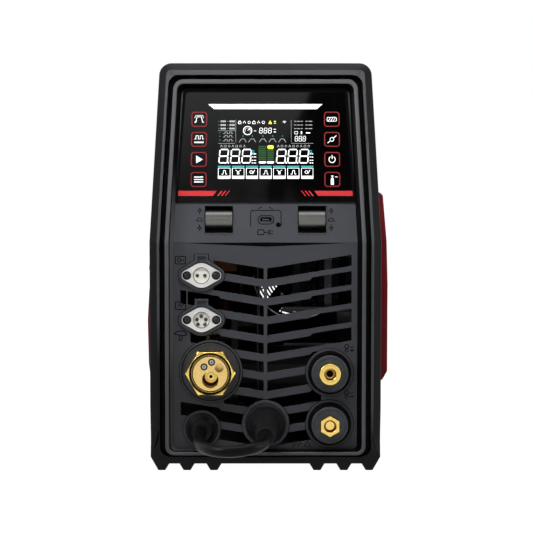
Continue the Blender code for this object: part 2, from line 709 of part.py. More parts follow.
# ------------------------------------------------------------------ case
def base_tray():
    """Floor of the case, with the runners under it and a lip on each side."""
    lip = 0.0018
    corners = runner_corners() + [(TRAY_HALF, FOOT_H, 0.0), (TRAY_HALF, 0.0280, 0.0),
                                  (TRAY_HALF - lip, 0.0280, 0.0), (TRAY_HALF - lip, FLOOR_Z - GAP, 0.0)]
    prism("base_tray", "Y", [rounded(mirrored(corners))], -SIDE_Y, SIDE_Y, "bezel_black")


def skin(name, points, thickness, front, rear, material):
    """Sheet that follows an (x, z) line and runs from front to rear."""
    inner = []
    for x, z in points:
        inner.append((x - math.copysign(thickness, x), z))
    obj = prism(name, "Y", [points + inner[::-1]], front, rear, material)
    return lean(obj)


def side_x(z):
    """Outer face of the side panels at a height."""
    return CASE_HALF - TAPER * max(0.0, z - LEAN_Z)


def side_panels():
    """Right side panel with its red cover, and the top cover."""
    line = [(side_x(z), z) for z in (0.0095, LEAN_Z, 0.3270)]
    panel = skin("right_side_panel", line, CASE_SKIN, -SIDE_Y, SIDE_Y, "sheet_black")
    vents = [prism("side_vent", "X", [vent_outline(k)], 0.09, 0.13) for k in range(6)]
    cut(panel, merged("side_vents", vents))
    outer = rounded([(CASE_HALF + GAP, 0.0790, 0.0), (0.1165, 0.0790, 0.002), (REACH_X, 0.0880, 0.004),
                     (REACH_X, 0.1750, 0.01), (0.1203, 0.2175, 0.01), (0.1172, 0.2640, 0.005),
                     (0.1100, 0.2680, 0.001), (side_x(0.2680) + 0.0012, 0.2680, 0.0)])
    outer.append((CASE_HALF + GAP, LEAN_Z))
    cover = lean(prism("right_cover", "Y", [outer], -0.1800, 0.1700, "red_gloss"))
    vents = [prism("cover_vent", "X", [vent_outline(k)], 0.09, 0.13) for k in range(6)]
    cut(cover, merged("cover_vents", vents))
    half_low, half_top = side_x(0.3273), side_x(COVER_TOP)
    wall = 0.0018
    shell = rounded([(half_low, 0.3274, 0.0), (half_top, COVER_TOP, 0.008), (-half_top, COVER_TOP, 0.008),
                     (-half_low, 0.3274, 0.0), (wall - half_low, 0.3274, 0.0),
                     (wall - half_top, COVER_TOP - wall, 0.0065), (half_top - wall, COVER_TOP - wall, 0.0065),
                     (half_low - wall, 0.3274, 0.0)])
    lean(prism("top_cover", "Y", [shell], -SIDE_Y, SIDE_Y, "sheet_black"))


def vent_outline(index):
    """One of six leaning vents in the right side, as Y and Z."""
    y = -0.105 + 0.038 * index
    return [(y, 0.115), (y + 0.011, 0.115), (y + 0.041, 0.195), (y + 0.030, 0.195)]


def carry_handle():
    """Handle over the top cover: a rounded bar on two feet."""
    low = COVER_TOP + GAP
    line = rounded([(-0.1330, low, 0.0), (-0.1080, low, 0.0), (-0.1000, 0.3770, 0.012),
                    (0.1200, 0.3770, 0.012), (0.1280, low, 0.0), (0.1530, low, 0.0),
                    (0.1530, 0.3870, 0.012), (0.1400, 0.3970, 0.010), (-0.1200, 0.3970, 0.010),
                    (-0.1330, 0.3890, 0.010)])
    grip = prism("carry_handle", "X", [line], -0.0160, 0.0160, "bezel_black")
    rounding = grip.modifiers.new("rounding", "BEVEL")
    rounding.width = 0.004
    rounding.segments = 1
    rounding.limit_method = "ANGLE"
    rounding.angle_limit = math.radians(60)


def door():
    """Door of the wire bay, with hinge sleeves, a red cover, a hinge pin and two latches."""
    line = [(-side_x(z), z) for z in (0.0120, LEAN_Z, 0.3240)]
    leaf = skin("wire_bay_door", line, CASE_SKIN, -SIDE_Y + 0.0030, SIDE_Y - 0.0085, "sheet_black")
    x, y = HINGE
    for low in (0.0500, 0.1500):
        sleeve = rod("sleeve", (x, y, low), (0, 0, 1), 0.0042, 0.0400, None, 16)
        high = low + 0.0400
        arm = box("sleeve_arm", (-CASE_HALF - 0.0025, y - 0.0140, low), (-CASE_HALF, y - 0.0010, high))
        tie = box("sleeve_tie", (-CASE_HALF - 0.0008, y - 0.0140, low),
                  (-CASE_HALF + 0.0006, y - 0.0070, high))
        join(leaf, sleeve, arm, tie)
    cut(leaf, rod("pin_bore", (x, y, 0.03), (0, 0, 1), 0.0021, 0.20, None, 16))
    for latch_y, latch_z in LATCHES:
        cut(leaf, rod("latch_hole", (-0.12, latch_y, latch_z), (1, 0, 0), 0.0043, 0.03, None, 16))
    settle(leaf)
    pivot(leaf, (x, y, 0.1))
    pin = rod("door_hinge_pin", (x, y, 0.0400), (0, 0, 1), 0.0018, 0.1600, "zinc_steel", 16)
    seat = REAR_Y - BEZEL_DEPTH - GAP
    for low in (0.0400, 0.1150, 0.1960):
        tab = box("pin_tab", (x - 0.0018, y - 0.0010, low), (x + 0.0024, seat, low + 0.0040))
        join(pin, tab)
    inner_x = -CASE_HALF - GAP
    outer = rounded([(inner_x, 0.0575, 0.0), (inner_x, 0.1865, 0.0), (-0.1160, 0.1865, 0.002),
                     (-0.1198, 0.1650, 0.02), (-REACH_X, 0.1340, 0.06), (-0.1206, 0.0900, 0.04),
                     (-0.1170, 0.0575, 0.002)])
    cover = prism("door_cover", "Y", [outer], -0.1300, 0.1500, "red_gloss")
    pivot(cover, (x, y, 0.1))
    for label, (latch_y, latch_z) in zip(("lower", "upper"), LATCHES):
        latch(label, latch_y, latch_z)


def latch(label, y, z):
    """Quarter-turn latch: a knob with a finger bar, a shaft through the door and a tongue."""
    face = -CASE_HALF - GAP
    knob = rod("door_latch_" + label, (face - 0.0050, y, z), (1, 0, 0), 0.0105, 0.0050, "bezel_black", 24)
    bar = box("latch_bar", (face - 0.0105, y - 0.0095, z - 0.0022), (face - 0.0040, y + 0.0095, z + 0.0022))
    shaft = rod("latch_shaft", (face - 0.0020, y, z), (1, 0, 0), 0.0040, 0.0090, None, 16)
    tongue = box("latch_tongue", (face + 0.0035, y - 0.0200, z - 0.0050),
                 (face + 0.0055, y + 0.0060, z + 0.0050))
    join(knob, bar, shaft, tongue)
    settle(knob)
    pivot(knob, (face, y, z))


# ------------------------------------------------------------------ rear of the case
def rear_panel():
    """Sheet with the fan opening, the switch cut-out and the holes for the gland and the gas."""
    outline = arch(0.1004, 0.0135, 0.3790, 0.009, 0.009)
    holes = [circle(FAN, FAN_RADIUS, 28), rectangle(SWITCH, 0.0276, 0.0220), circle(GLAND, 0.0105, 16),
             circle(GAS, 0.0070, 12)]
    lean(prism("rear_panel", "Y", [outline] + holes, 0.2230, 0.2250, "sheet_black"))


def fan():
    """Axial fan: guard outside, square frame with struts inside, and the rotor."""
    outlines = [circle(FAN, FAN_RADIUS + 0.0035, 32)]
    for inner, outer in ((0.0180, 0.0330), (0.0365, 0.0520)):
        for quarter in range(4):
            start = math.radians(90 * quarter + 45) + 0.0020 / inner
            end = math.radians(90 * quarter + 135) - 0.0020 / inner
            steps = 4
            sweep = [start + (end - start) * k / steps for k in range(steps + 1)]
            outlines.append([(FAN[0] + outer * math.cos(a), FAN[1] + outer * math.sin(a)) for a in sweep]
                            + [(FAN[0] + inner * math.cos(a), FAN[1] + inner * math.sin(a))
                               for a in reversed(sweep)])
    prism("fan_guard", "Y", outlines, 0.2253, 0.2278, "sheet_black")
    side = 0.1190
    frame = prism("fan_frame", "Y", [rectangle(FAN, side, side, 0.004, 2), circle(FAN, FAN_RADIUS, 28)],
                  0.1975, 0.2227, "core_grey")
    struts = merged("fan_struts", [strut(k) for k in range(3)])
    hub = rod("fan_motor", (FAN[0], 0.1975, FAN[1]), (0, 1, 0), 0.0190, 0.0035, None, 24)
    join(frame, struts, hub)
    rotor = rod("fan_rotor", (FAN[0], 0.2020, FAN[1]), (0, 1, 0), 0.0190, 0.0190, "rubber_black", 20)
    blades = merged("fan_blades", [blade(k) for k in range(7)])
    join(rotor, blades)
    settle(rotor)
    pivot(rotor, (FAN[0], 0.2115, FAN[1]))


def strut(index):
    """One strut of the fan frame, from the motor seat to the rim."""
    piece = box("strut", (0.0100, -0.0025, 0.0), (FAN_RADIUS + 0.0010, 0.0025, 0.0030))
    turn = Matrix.Rotation(math.radians(120 * index + 30), 4, "Z")
    shift = piece.matrix_world.copy()
    piece.matrix_world = aimed((FAN[0], 0.1975, FAN[1]), (0, 1, 0)) @ turn @ shift
    return piece


def blade(index):
    """One pitched fan blade, rooted in the hub."""
    piece = box("blade", (0.0160, -0.0125, -0.0009), (0.0530, 0.0125, 0.0009))
    shift = piece.matrix_world.copy()
    turn = Matrix.Rotation(math.radians(360.0 / 7.0 * index), 4, "Z")
    pitch = Matrix.Rotation(math.radians(38), 4, "X")
    piece.matrix_world = aimed((FAN[0], 0.2115, FAN[1]), (0, 1, 0)) @ turn @ pitch @ shift
    return piece


def power_switch():
    """Rocker switch: a snap-in frame in the rear panel and the rocker, at rest in its off position."""
    y = 0.2250 - (SWITCH[1] - LEAN_Z) * LEAN_REAR
    tilt = Matrix.Rotation(math.atan(LEAN_REAR), 4, "X")
    spot = Matrix.Translation((SWITCH[0], y, SWITCH[1])) @ tilt
    frame = box("power_switch", (-0.0155, GAP, -0.0125), (0.0155, 0.0025, 0.0125), "rubber_black")
    body = box("switch_body", (-0.0134, -0.0220, -0.0104), (0.0134, 0.0015, 0.0104))
    well = box("switch_well", (-0.0112, -0.0080, -0.0085), (0.0112, 0.0100, 0.0085))
    for piece in (frame, body, well):
        piece.matrix_world = spot @ piece.matrix_world
    join(frame, body)
    cut(frame, well)
    line = [(-0.0025, -0.0075), (0.0032, -0.0075), (0.0022, 0.0), (0.0032, 0.0075), (-0.0025, 0.0075),
            (-0.0050, 0.0)]
    rocker = prism("power_rocker", "X", [line], -0.0105, 0.0105, "rubber_black")
    off = Matrix.Rotation(math.radians(10), 4, "X")
    rocker.matrix_world = spot @ off @ rocker.matrix_world


def rear_fittings():
    """Gland for the mains cable and the gas inlet."""
    x, z = GLAND
    face = 0.2250 + GAP
    gland = rod("mains_gland", (x, face, z), (0, 1, 0), 0.0150, 0.0060, "rubber_black", 6)
    dome = turned("gland_dome", (x, face, z), (0, 1, 0),
                  [(0.0, REACH_Y - face), (0.0095, REACH_Y - face), (0.0130, 0.0160), (0.0135, 0.0050),
                   (0.0, 0.0050)], None, 16)
    stem = rod("gland_stem", (x, face - 0.0180, z), (0, 1, 0), 0.0100, 0.0190, None, 16)
    bore = rod("gland_bore", (x, 0.20, z), (0, 1, 0), 0.0055, 0.06, None, 12)
    join(gland, dome, stem)
    cut(gland, bore)
    x, z = GAS
    inlet = rod("gas_inlet", (x, face, z), (0, 1, 0), 0.0100, 0.0050, "brass", 6)
    barb = turned("gas_barb", (x, face, z), (0, 1, 0),
                  [(0.0, 0.0185), (0.0036, 0.0185), (0.0048, 0.0150), (0.0038, 0.0150), (0.0048, 0.0110),
                   (0.0038, 0.0110), (0.0038, 0.0040), (0.0, 0.0040)], None, 12)
    stem = rod("gas_stem", (x, GAS_STEM_Y, z), (0, 1, 0), 0.0060, face + 0.0010 - GAS_STEM_Y, None, 16)
    join(inlet, barb, stem)
    cut(inlet, rod("gas_bore", (x, 0.222, z), (0, 1, 0), 0.0022, 0.04, None, 10))


# ------------------------------------------------------------------ wire bay
def divider():
    """Wall between the wire bay and the electronics, with a hole for the feed motor."""
    hole = circle((FEED_Y, WIRE_Z - NIP - DRIVE_R), 0.0310)
    line = [(-0.1820, FLOOR_Z), (0.1820, FLOOR_Z), (0.1820, LEAN_Z), (0.1640, 0.3455), (-0.1480, 0.3455),
            (-0.1820, LEAN_Z)]
    prism("centre_divider", "X", [line, hole], DIVIDER_X, DIVIDER_X + 0.0015, "zinc_steel")


def feeder():
    """Wire feeder: plate, motor, drive roll, idler roll, pressure arm and tension knob."""
    drive_z = WIRE_Z - NIP - DRIVE_R
    idler_z = WIRE_Z + NIP + IDLER_R
    arm_y, arm_z = ARM_PIVOT
    plate = prism("feed_plate", "X", [rectangle((FEED_Y, 0.1000), 0.1000, 0.0900, 0.006, 2),
                                      circle((FEED_Y, drive_z), 0.0052, 16)], -0.0340, -0.0280, "aluminium")
    stands = [rod("stand", (-0.0300, y, z), (1, 0, 0), 0.0045, DIVIDER_X - GAP + 0.0300, None, 8)
              for y, z in ((-0.1690, 0.0650), (-0.0810, 0.0650), (-0.0810, 0.1350), (-0.1690, 0.1350))]
    post = rod("arm_post", (-0.0480, arm_y, arm_z), (1, 0, 0), 0.0040, 0.0150, None, 16)
    guides = [box("guide_block", (-0.0590, y - 0.0050, WIRE_Z - 0.0060),
                  (-0.0300, y + 0.0050, WIRE_Z + 0.0060)) for y in (FEED_Y - 0.0270, FEED_Y + 0.0270)]
    join(plate, merged("plate_stands", stands), post, *guides)
    cut(plate, rod("guide_bore", (WIRE_X, -0.17, WIRE_Z), (0, 1, 0), 0.0015, 0.10, None, 10))
    motor = rod("feed_motor", (-0.0277, FEED_Y, drive_z), (1, 0, 0), 0.0290, 0.0950, "sheet_black", 28)
    neck = rod("motor_neck", (0.0650, FEED_Y, drive_z), (1, 0, 0), 0.0120, 0.0080, None, 16)
    join(motor, neck)
    drive = turned("drive_roll", (-0.0576, FEED_Y, drive_z), (1, 0, 0),
                   [(0.0, 0.0292), (0.0045, 0.0292), (0.0045, 0.0100), (0.0142, 0.0100), (DRIVE_R, 0.0092),
                    (DRIVE_R, 0.0056), (DRIVE_R - 0.0004, 0.0050), (DRIVE_R, 0.0044), (DRIVE_R, 0.0008),
                    (0.0142, 0.0), (0.0, 0.0)], "zinc_steel", 20)
    settle(drive)
    pivot(drive, (WIRE_X, FEED_Y, drive_z))
    idler = turned("idler_roll", (-0.0576, FEED_Y, idler_z), (1, 0, 0),
                   [(IDLER_R - 0.0008, 0.0100), (IDLER_R, 0.0092), (IDLER_R, 0.0008),
                    (IDLER_R - 0.0008, 0.0), (0.0034, 0.0), (0.0034, 0.0100)], "zinc_steel", 20, ring=True)
    settle(idler)
    pivot(idler, (WIRE_X, FEED_Y, idler_z))
    line = rounded([(arm_y - 0.0080, arm_z - 0.0080, 0.003), (FEED_Y - 0.0080, idler_z - 0.0060, 0.002),
                    (FEED_Y + 0.0080, idler_z - 0.0060, 0.002), (KNOB_Y + 0.0080, 0.1130, 0.002),
                    (KNOB_Y + 0.0080, 0.1220, 0.002), (FEED_Y + 0.0080, 0.1220, 0.002),
                    (arm_y, arm_z + 0.0080, 0.003), (arm_y - 0.0080, arm_z + 0.0060, 0.003)], 2)
    hole = circle((arm_y, arm_z), 0.0044, 16)
    arm = prism("pressure_arm", "X", [line, hole], -0.0465, -0.0390, "core_grey")
    axle = rod("idler_axle", (-0.0585, FEED_Y, idler_z), (1, 0, 0), 0.0030, 0.0150, None, 16)
    join(arm, axle)
    settle(arm)
    pivot(arm, (WIRE_X, arm_y, arm_z))
    knob = turned("tension_knob", (-0.0428, KNOB_Y, 0.1223), (0, 0, 1),
                  [(0.0, 0.0300), (0.0070, 0.0300), (0.0085, 0.0285), (0.0085, 0.0110), (0.0070, 0.0100),
                   (0.0030, 0.0100), (0.0030, 0.0), (0.0, 0.0)], "red_gloss", 20)
    settle(knob)
    pivot(knob, (-0.0428, KNOB_Y, 0.1300))


def spool():
    """Spool axle on the divider, with the hub, the spool and its winding that turn on it."""
    y, z = SPOOL
    axle = rod("spool_axle", (-0.0920, y, z), (1, 0, 0), 0.0070, DIVIDER_X - GAP + 0.0920, "zinc_steel", 24)
    join(axle, rod("axle_foot", (-0.0130, y, z), (1, 0, 0), 0.0220, DIVIDER_X - GAP + 0.0130, None, 24))
    start = -0.0910
    hub = turned("spool_hub", (start, y, z), (1, 0, 0),
                 [(0.0245, 0.0760), (0.0245, 0.0070), (0.0300, 0.0070), (0.0300, 0.0), (0.0074, 0.0),
                  (0.0074, 0.0760)], "cream_plastic", 20, ring=True)
    settle(hub)
    pivot(hub, (WIRE_X, y, z))
    reel = turned("wire_spool", (start + 0.0073, y, z), (1, 0, 0),
                  [(0.1000, 0.0550), (0.1000, 0.0520), (0.0550, 0.0520), (0.0550, 0.0030), (0.1000, 0.0030),
                   (0.1000, 0.0), (0.0249, 0.0), (0.0249, 0.0550)], "rubber_black", 24, ring=True)
    settle(reel)
    pivot(reel, (WIRE_X, y, z))
    winding = turned("wire_winding", (start + 0.0073, y, z), (1, 0, 0),
                     [(0.0880, 0.0517), (0.0880, 0.0033), (0.0553, 0.0033), (0.0553, 0.0517)],
                     "copper", 24, ring=True)
    settle(winding)
    pivot(winding, (WIRE_X, y, z))


def gas_valve():
    """Solenoid valve behind the gas inlet."""
    x, z = GAS
    valve = box("gas_valve", (x - 0.0110, 0.1760, z - 0.0110),
                (x + 0.0110, GAS_STEM_Y - GAP, z + 0.0110), "brass")
    coil = box("valve_coil", (x - 0.0130, 0.1790, z - 0.0420), (x + 0.0130, 0.1990, z - 0.0100))
    join(valve, coil)


# ------------------------------------------------------------------ electronics
def heatsink_line(root, tip, low, high, fins):
    """Comb of fins that point to the middle of the case, as X and Z."""
    pitch = (high - low) / fins
    line = [(root, low), (root, high)]
    for k in range(fins):
        top = high - pitch * k
        valley = top - pitch * 0.36
        line += [(tip, top), (tip, valley), (root - 0.0060, valley), (root - 0.0060, top - pitch)]
    return line[:-2]


def electronics():
    """Power board with its cooler, transformer and capacitor bank, right of the divider."""
    board_low, board_high = FLOOR_Z, 0.3000
    board = rectangle((0.0050, (board_low + board_high) / 2.0), 0.3100, board_high - board_low, 0.003, 2)
    prism("main_board", "X", [board], BOARD_X, BOARD_X + 0.0018, "board_green")
    comb = heatsink_line(BOARD_X - GAP, 0.0480, 0.2200, 0.3000, 9)
    prism("heatsink", "Y", [comb], -0.1000, 0.1500, "aluminium")
    core = box("transformer", (0.0200, -0.0300, FLOOR_Z), (0.0800, 0.0500, 0.0900), "core_grey", 0.002)
    coil = box("coil", (0.0140, -0.0180, FLOOR_Z + 0.0140), (0.0860, 0.0380, 0.0760))
    join(core, coil)
    bank = box("capacitor_bank", (0.0180, -0.1000, 0.1400), (BOARD_X - GAP, 0.1000, 0.1450), "core_grey")
    cans = [rod("can", (x, y, 0.1440), (0, 0, 1), 0.0150, 0.0500, None, 12)
            for x in (0.0360, 0.0700) for y in (-0.0700, 0.0, 0.0700)]
    join(bank, merged("capacitor_cans", cans))


bezel("front_bezel", FRONT_Y, 1)
inner_frame()
front_panel()
display()
roller(-1, "left")
roller(1, "right")
usb_socket()
round_socket("trigger", TRIGGER)
round_socket("control", CONTROL)
torch_socket()
terminal("positive", POSITIVE, round_brass)
terminal("negative", NEGATIVE, hex_brass)
park_and_lead()
base_tray()
side_panels()
carry_handle()
door()
bezel("rear_bezel", REAR_Y, -1)
rear_panel()
fan()
power_switch()
rear_fittings()
divider()
feeder()
spool()
gas_valve()
electronics()
for joined in list(PARTS.objects):
    if any(step.type == "BOOLEAN" for step in joined.modifiers):
        settle(joined)
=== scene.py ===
"""Looks of a compact multi-process inverter welder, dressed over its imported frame.

Frame: metres, +X to the right of someone facing the front, +Y to the back, +Z up.
"""
import math

import bpy
import numpy as np
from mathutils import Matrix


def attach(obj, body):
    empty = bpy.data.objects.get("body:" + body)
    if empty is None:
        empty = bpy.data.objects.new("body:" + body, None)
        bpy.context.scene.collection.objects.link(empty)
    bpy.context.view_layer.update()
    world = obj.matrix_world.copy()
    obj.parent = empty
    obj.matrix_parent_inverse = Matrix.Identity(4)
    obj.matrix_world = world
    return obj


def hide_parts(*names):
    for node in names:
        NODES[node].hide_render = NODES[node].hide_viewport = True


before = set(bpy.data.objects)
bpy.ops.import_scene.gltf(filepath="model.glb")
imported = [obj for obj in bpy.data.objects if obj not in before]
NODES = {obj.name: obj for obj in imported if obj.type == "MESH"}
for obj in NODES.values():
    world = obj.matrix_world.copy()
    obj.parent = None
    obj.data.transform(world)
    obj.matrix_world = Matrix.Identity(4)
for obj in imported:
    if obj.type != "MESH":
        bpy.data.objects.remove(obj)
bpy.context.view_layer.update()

# ------------------------------------------------------------------ driving dimensions (metres)
GAP = 0.0003
LEAN_Z = 0.219                 # the case leans in above this height
LEAN_FRONT = math.tan(math.radians(15.0))
LEAN_REAR = math.tan(math.radians(8.0))
TAPER = 0.0425
FRONT_Y = -0.240
REAR_Y = 0.240
BEZEL_DEPTH = 0.055
BEZEL_HALF = 0.111
BEZEL_TOP = 0.3928
FOOT_H = 0.0064
RIDGE_X = (0.0495, 0.0753, 0.0996)
RIDGE_TIP = 0.0033
RIDGE_ROOT = 0.0072
COVER_TOP = 0.3480
RING_Y = -0.2385
FLANGE_Y = -0.2315
PANEL_Y = -0.2282              # face of the front panel
SEAT_Y = PANEL_Y - GAP         # plane on which the fittings sit
GLASS_Y = SEAT_Y - 0.0014      # face of the display overlay before the lean
EURO_FACE_Y = 0.2455           # how far before the middle the torch socket's face stands
REAR_PANEL_Y = 0.2250

TRIGGER = (-0.0614, 0.1869)    # centres on the front panel, as X and Z
CONTROL = (-0.0614, 0.1441)
EURO = (-0.0526, 0.0940)
POSITIVE = (0.0618, 0.0930)
NEGATIVE = (0.0618, 0.0433)
PARK = (0.0002, 0.0433)
GROMMET = (-0.0614, 0.0380)
ROLLER_X = 0.0448
ROLLER_Z = 0.2403
ROLLER_Y = -0.2225 + (ROLLER_Z - LEAN_Z) * LEAN_FRONT
USB = (0.0004, 0.2401)
FAN = (0.0400, 0.1580)
SWITCH = (-0.0640, 0.2900)
LEAD_RADIUS = 0.0054
LEAD_ROUTE = (
    (-0.0614, -0.2433, 0.0380), (-0.0614, -0.2540, 0.0379), (-0.0618, -0.2680, 0.0372),
    (-0.0618, -0.2830, 0.0366), (-0.0602, -0.2980, 0.0361), (-0.0560, -0.3120, 0.0358),
    (-0.0487, -0.3240, 0.0357), (-0.0390, -0.3315, 0.0359), (-0.0280, -0.3343, 0.0365),
    (-0.0172, -0.3325, 0.0376), (-0.0080, -0.3268, 0.0390), (-0.0018, -0.3180, 0.0405),
    (0.0002, -0.3075, 0.0430), (0.0002, -0.2954, 0.0433),
)
BOOT_TIP_Y = -0.2950

# Directions of a piece's own right, up and outwards for each way that it can face.
FACING = {
    "front": ((1, 0, 0), (0, 0, 1), (0, -1, 0)),
    "rear": ((-1, 0, 0), (0, 0, 1), (0, 1, 0)),
    "right": ((0, 1, 0), (0, 0, 1), (1, 0, 0)),
    "left": ((0, -1, 0), (0, 0, 1), (-1, 0, 0)),
    "up": ((1, 0, 0), (0, 1, 0), (0, 0, 1)),
}


# ------------------------------------------------------------------ shader expressions
class Signal:
    """Output of a shader node. Arithmetic on signals adds Math nodes."""

    def __init__(self, tree, output):
        self.tree = tree
        self.output = output

    def math(self, operation, first, second):
        """One Math node on two values or signals."""
        node = self.tree.nodes.new("ShaderNodeMath")
        node.operation = operation
        feed(self.tree, node.inputs[0], first)
        feed(self.tree, node.inputs[1], second)
        return Signal(self.tree, node.outputs[0])

    def __add__(self, other):
        return self.math("ADD", self, other)

    def __radd__(self, other):
        return self.math("ADD", other, self)

    def __mul__(self, other):
        return self.math("MULTIPLY", self, other)

    def __rmul__(self, other):
        return self.math("MULTIPLY", other, self)


def feed(tree, socket, value):
    """Links a signal to a socket, or sets the socket's own value."""
    if isinstance(value, Signal):
        tree.links.new(value.output, socket)
    elif isinstance(value, (tuple, list)) and socket.type == "RGBA" and len(value) == 3:
        socket.default_value = (*value, 1.0)
    else:
        socket.default_value = value


def shade(colour, factor):
    """A colour made lighter or darker."""
    return tuple(min(1.0, channel * factor) for channel in colour)


class Finish:
    """One material: a Principled shader and the nodes that vary it."""

    def __init__(self, name, colour, roughness, metallic=0.0, **fixed):
        self.material = bpy.data.materials.new(name)
        self.material.use_nodes = True
        self.tree = self.material.node_tree
        self.shader = self.tree.nodes["Principled BSDF"]
        self.colour = colour
        self.roughness = roughness
        self.put("Base Color", colour)
        self.put("Roughness", roughness)
        self.put("Metallic", metallic)
        for key, value in fixed.items():
            self.put(key.replace("_", " "), value)

    def put(self, socket, value):
        """Sets or links one socket of the Principled shader."""
        feed(self.tree, self.shader.inputs[socket], value)

    def node(self, kind, settings=None, inputs=None, output=0):
        """Any node: its settings first, then the values or links of its sockets."""
        node = self.tree.nodes.new(kind)
        for key, value in (settings or {}).items():
            setattr(node, key, value)
        for key, value in (inputs or {}).items():
            feed(self.tree, node.inputs[key], value)
        return Signal(self.tree, node.outputs[output])

    def place(self):
        """Object coordinates."""
        return self.node("ShaderNodeTexCoord", output=3)

    def noise(self, scale, detail=2.0, stretch=None):
        """Noise on Object coordinates, stretched by a Mapping node where asked."""
        at = self.place()
        if stretch:
            at = self.node("ShaderNodeMapping", None, {"Vector": at, "Scale": stretch})
        return self.node("ShaderNodeTexNoise", None,
                         {"Vector": at, "Scale": scale, "Detail": detail, "Roughness": 0.55})

    def spread(self, signal, low, high):
        """Maps a noise (about 0.3 to 0.7) to a range."""
        return self.node("ShaderNodeMapRange", None,
                         {"Value": signal, "From Min": 0.3, "From Max": 0.7, "To Min": low, "To Max": high})

    def blend(self, factor, first, second):
        """Mix of two colours."""
        return self.node("ShaderNodeMix", {"data_type": "RGBA"}, {0: factor, 6: first, 7: second}, output=2)

    def mottle(self, noise, dark, pale):
        """The finish's own colour, from dark to pale times it over a noise."""
        return self.blend(self.spread(noise, 0.0, 1.0), shade(self.colour, dark), shade(self.colour, pale))

    def relief(self, height, distance):
        """Bump from a height signal into the shader's normal."""
        self.put("Normal", self.node("ShaderNodeBump", None,
                                     {"Height": height, "Distance": distance, "Strength": 1.0}))

    def vary(self, tone, tints, gloss, offsets, height, distance):
        """Uneven colour over tone, uneven roughness over gloss, and a relief: the usual three."""
        self.put("Base Color", self.mottle(tone, *tints))
        self.put("Roughness", self.spread(gloss, *(self.roughness + offset for offset in offsets)))
        self.relief(height, distance)
        return self.material

    def rings(self, centre, pitch):
        """Fine turning marks round an axis along Y through centre, as a wave of the distance."""
        at = self.node("ShaderNodeMapping", None,
                       {"Vector": self.place(), "Location": (-centre[0], 0.0, -centre[1]),
                        "Scale": (1.0, 0.0, 1.0)})
        far = self.node("ShaderNodeVectorMath", {"operation": "LENGTH"}, {0: at}, output=1)
        return self.node("ShaderNodeMath", {"operation": "SINE"}, {0: far * (2.0 * math.pi / pitch)})


def moulded(name, colour, roughness=0.5, grain=900.0, depth=0.00005, specular=0.4):
    """Moulded plastic: eroded-mould grain, faint flow marks and slightly uneven gloss."""
    made = Finish(name, colour, roughness, Specular_IOR_Level=specular)
    fine = made.noise(grain, 3.0)
    cloud = made.noise(16.0, 3.0) * 0.6 + fine * 0.4
    return made.vary(cloud, (0.88, 1.12), made.noise(40.0, 4.0), (-0.06, 0.07), fine, depth)


def painted_light_plastic(name, pale, dark, low, high, up, across, specular=0.12):
    """Black plastic with painted light: pale where lamps would light it and dark where shade would fall.

    The share of pale is a smooth step, from low to high, of up times the height plus across times
    the sideways place.
    """
    made = Finish(name, pale, 0.34, Specular_IOR_Level=specular)
    side, height = (made.node("ShaderNodeSeparateXYZ", None, {"Vector": made.place()}, output=axis)
                    for axis in (0, 2))
    lit_share = made.node("ShaderNodeMapRange", {"interpolation_type": "SMOOTHSTEP"},
                     {"Value": height * up + side * across, "From Min": low, "From Max": high})
    made.put("Base Color", made.blend(lit_share, dark, pale))
    made.put("Roughness", made.spread(made.noise(40.0, 4.0), 0.28, 0.41))
    made.relief(made.noise(1000.0, 3.0), 0.00002)
    return made.material


def rubber(name, colour, roughness=0.62):
    """Moulded rubber: soft dull black with a dusty bloom."""
    made = Finish(name, colour, roughness, Specular_IOR_Level=0.10)
    bloom = made.noise(60.0, 5.0)
    return made.vary(bloom, (0.8, 1.5), bloom, (-0.08, 0.08), made.noise(1600.0, 2.0), 0.00003)


def painted(name, colour, roughness=0.3, coat=0.5, specular=0.5):
    """Painted or lacquered surface: faint orange peel under a clear coat."""
    made = Finish(name, colour, roughness, Coat_Weight=coat, Coat_Roughness=0.12,
                  Specular_IOR_Level=specular)
    return made.vary(made.noise(12.0, 3.0), (0.85, 1.1), made.noise(90.0, 3.0), (-0.05, 0.06),
                     made.noise(420.0, 2.0), 0.00003)


def powder_coat(name, colour, roughness=0.48):
    """Powder-coated sheet steel: fine pebbled relief."""
    made = Finish(name, colour, roughness, Specular_IOR_Level=0.3)
    pebble = made.node("ShaderNodeTexVoronoi", None, {"Vector": made.place(), "Scale": 900.0})
    return made.vary(made.noise(20.0, 3.0), (0.85, 1.15), made.noise(300.0, 2.0), (-0.06, 0.08),
                     pebble, 0.00005)


def metal(name, colour, roughness=0.3, stretch=(1.0, 1.0, 1.0), dull=0.8):
    """Plain worked metal: drawn or milled streaks and smudges of uneven gloss."""
    made = Finish(name, colour, roughness, 1.0)
    streak = made.noise(900.0, 3.0, stretch)
    smudge = made.noise(55.0, 5.0)
    return made.vary(smudge, (dull, 1.0), smudge * 0.5 + streak * 0.5, (-0.08, 0.12), streak, 0.00001)


def turned_metal(name, colour, centre):
    """Metal turned on a lathe: concentric tool marks and a few smudges."""
    made = Finish(name, colour, 0.22, 1.0)
    smudge = made.noise(90.0, 3.0)
    return made.vary(smudge, (0.93, 1.0), smudge, (-0.03, 0.06), made.rings(centre, 0.0005), 0.000002)


def turned_plastic(name, colour, centre):
    """Black insulator with fine concentric lines left by the mould."""
    made = Finish(name, colour, 0.38, Specular_IOR_Level=0.14)
    return made.vary(made.noise(70.0, 3.0), (0.8, 1.25), made.noise(200.0, 3.0), (-0.06, 0.08),
                     made.rings(centre, 0.0009), 0.00002)


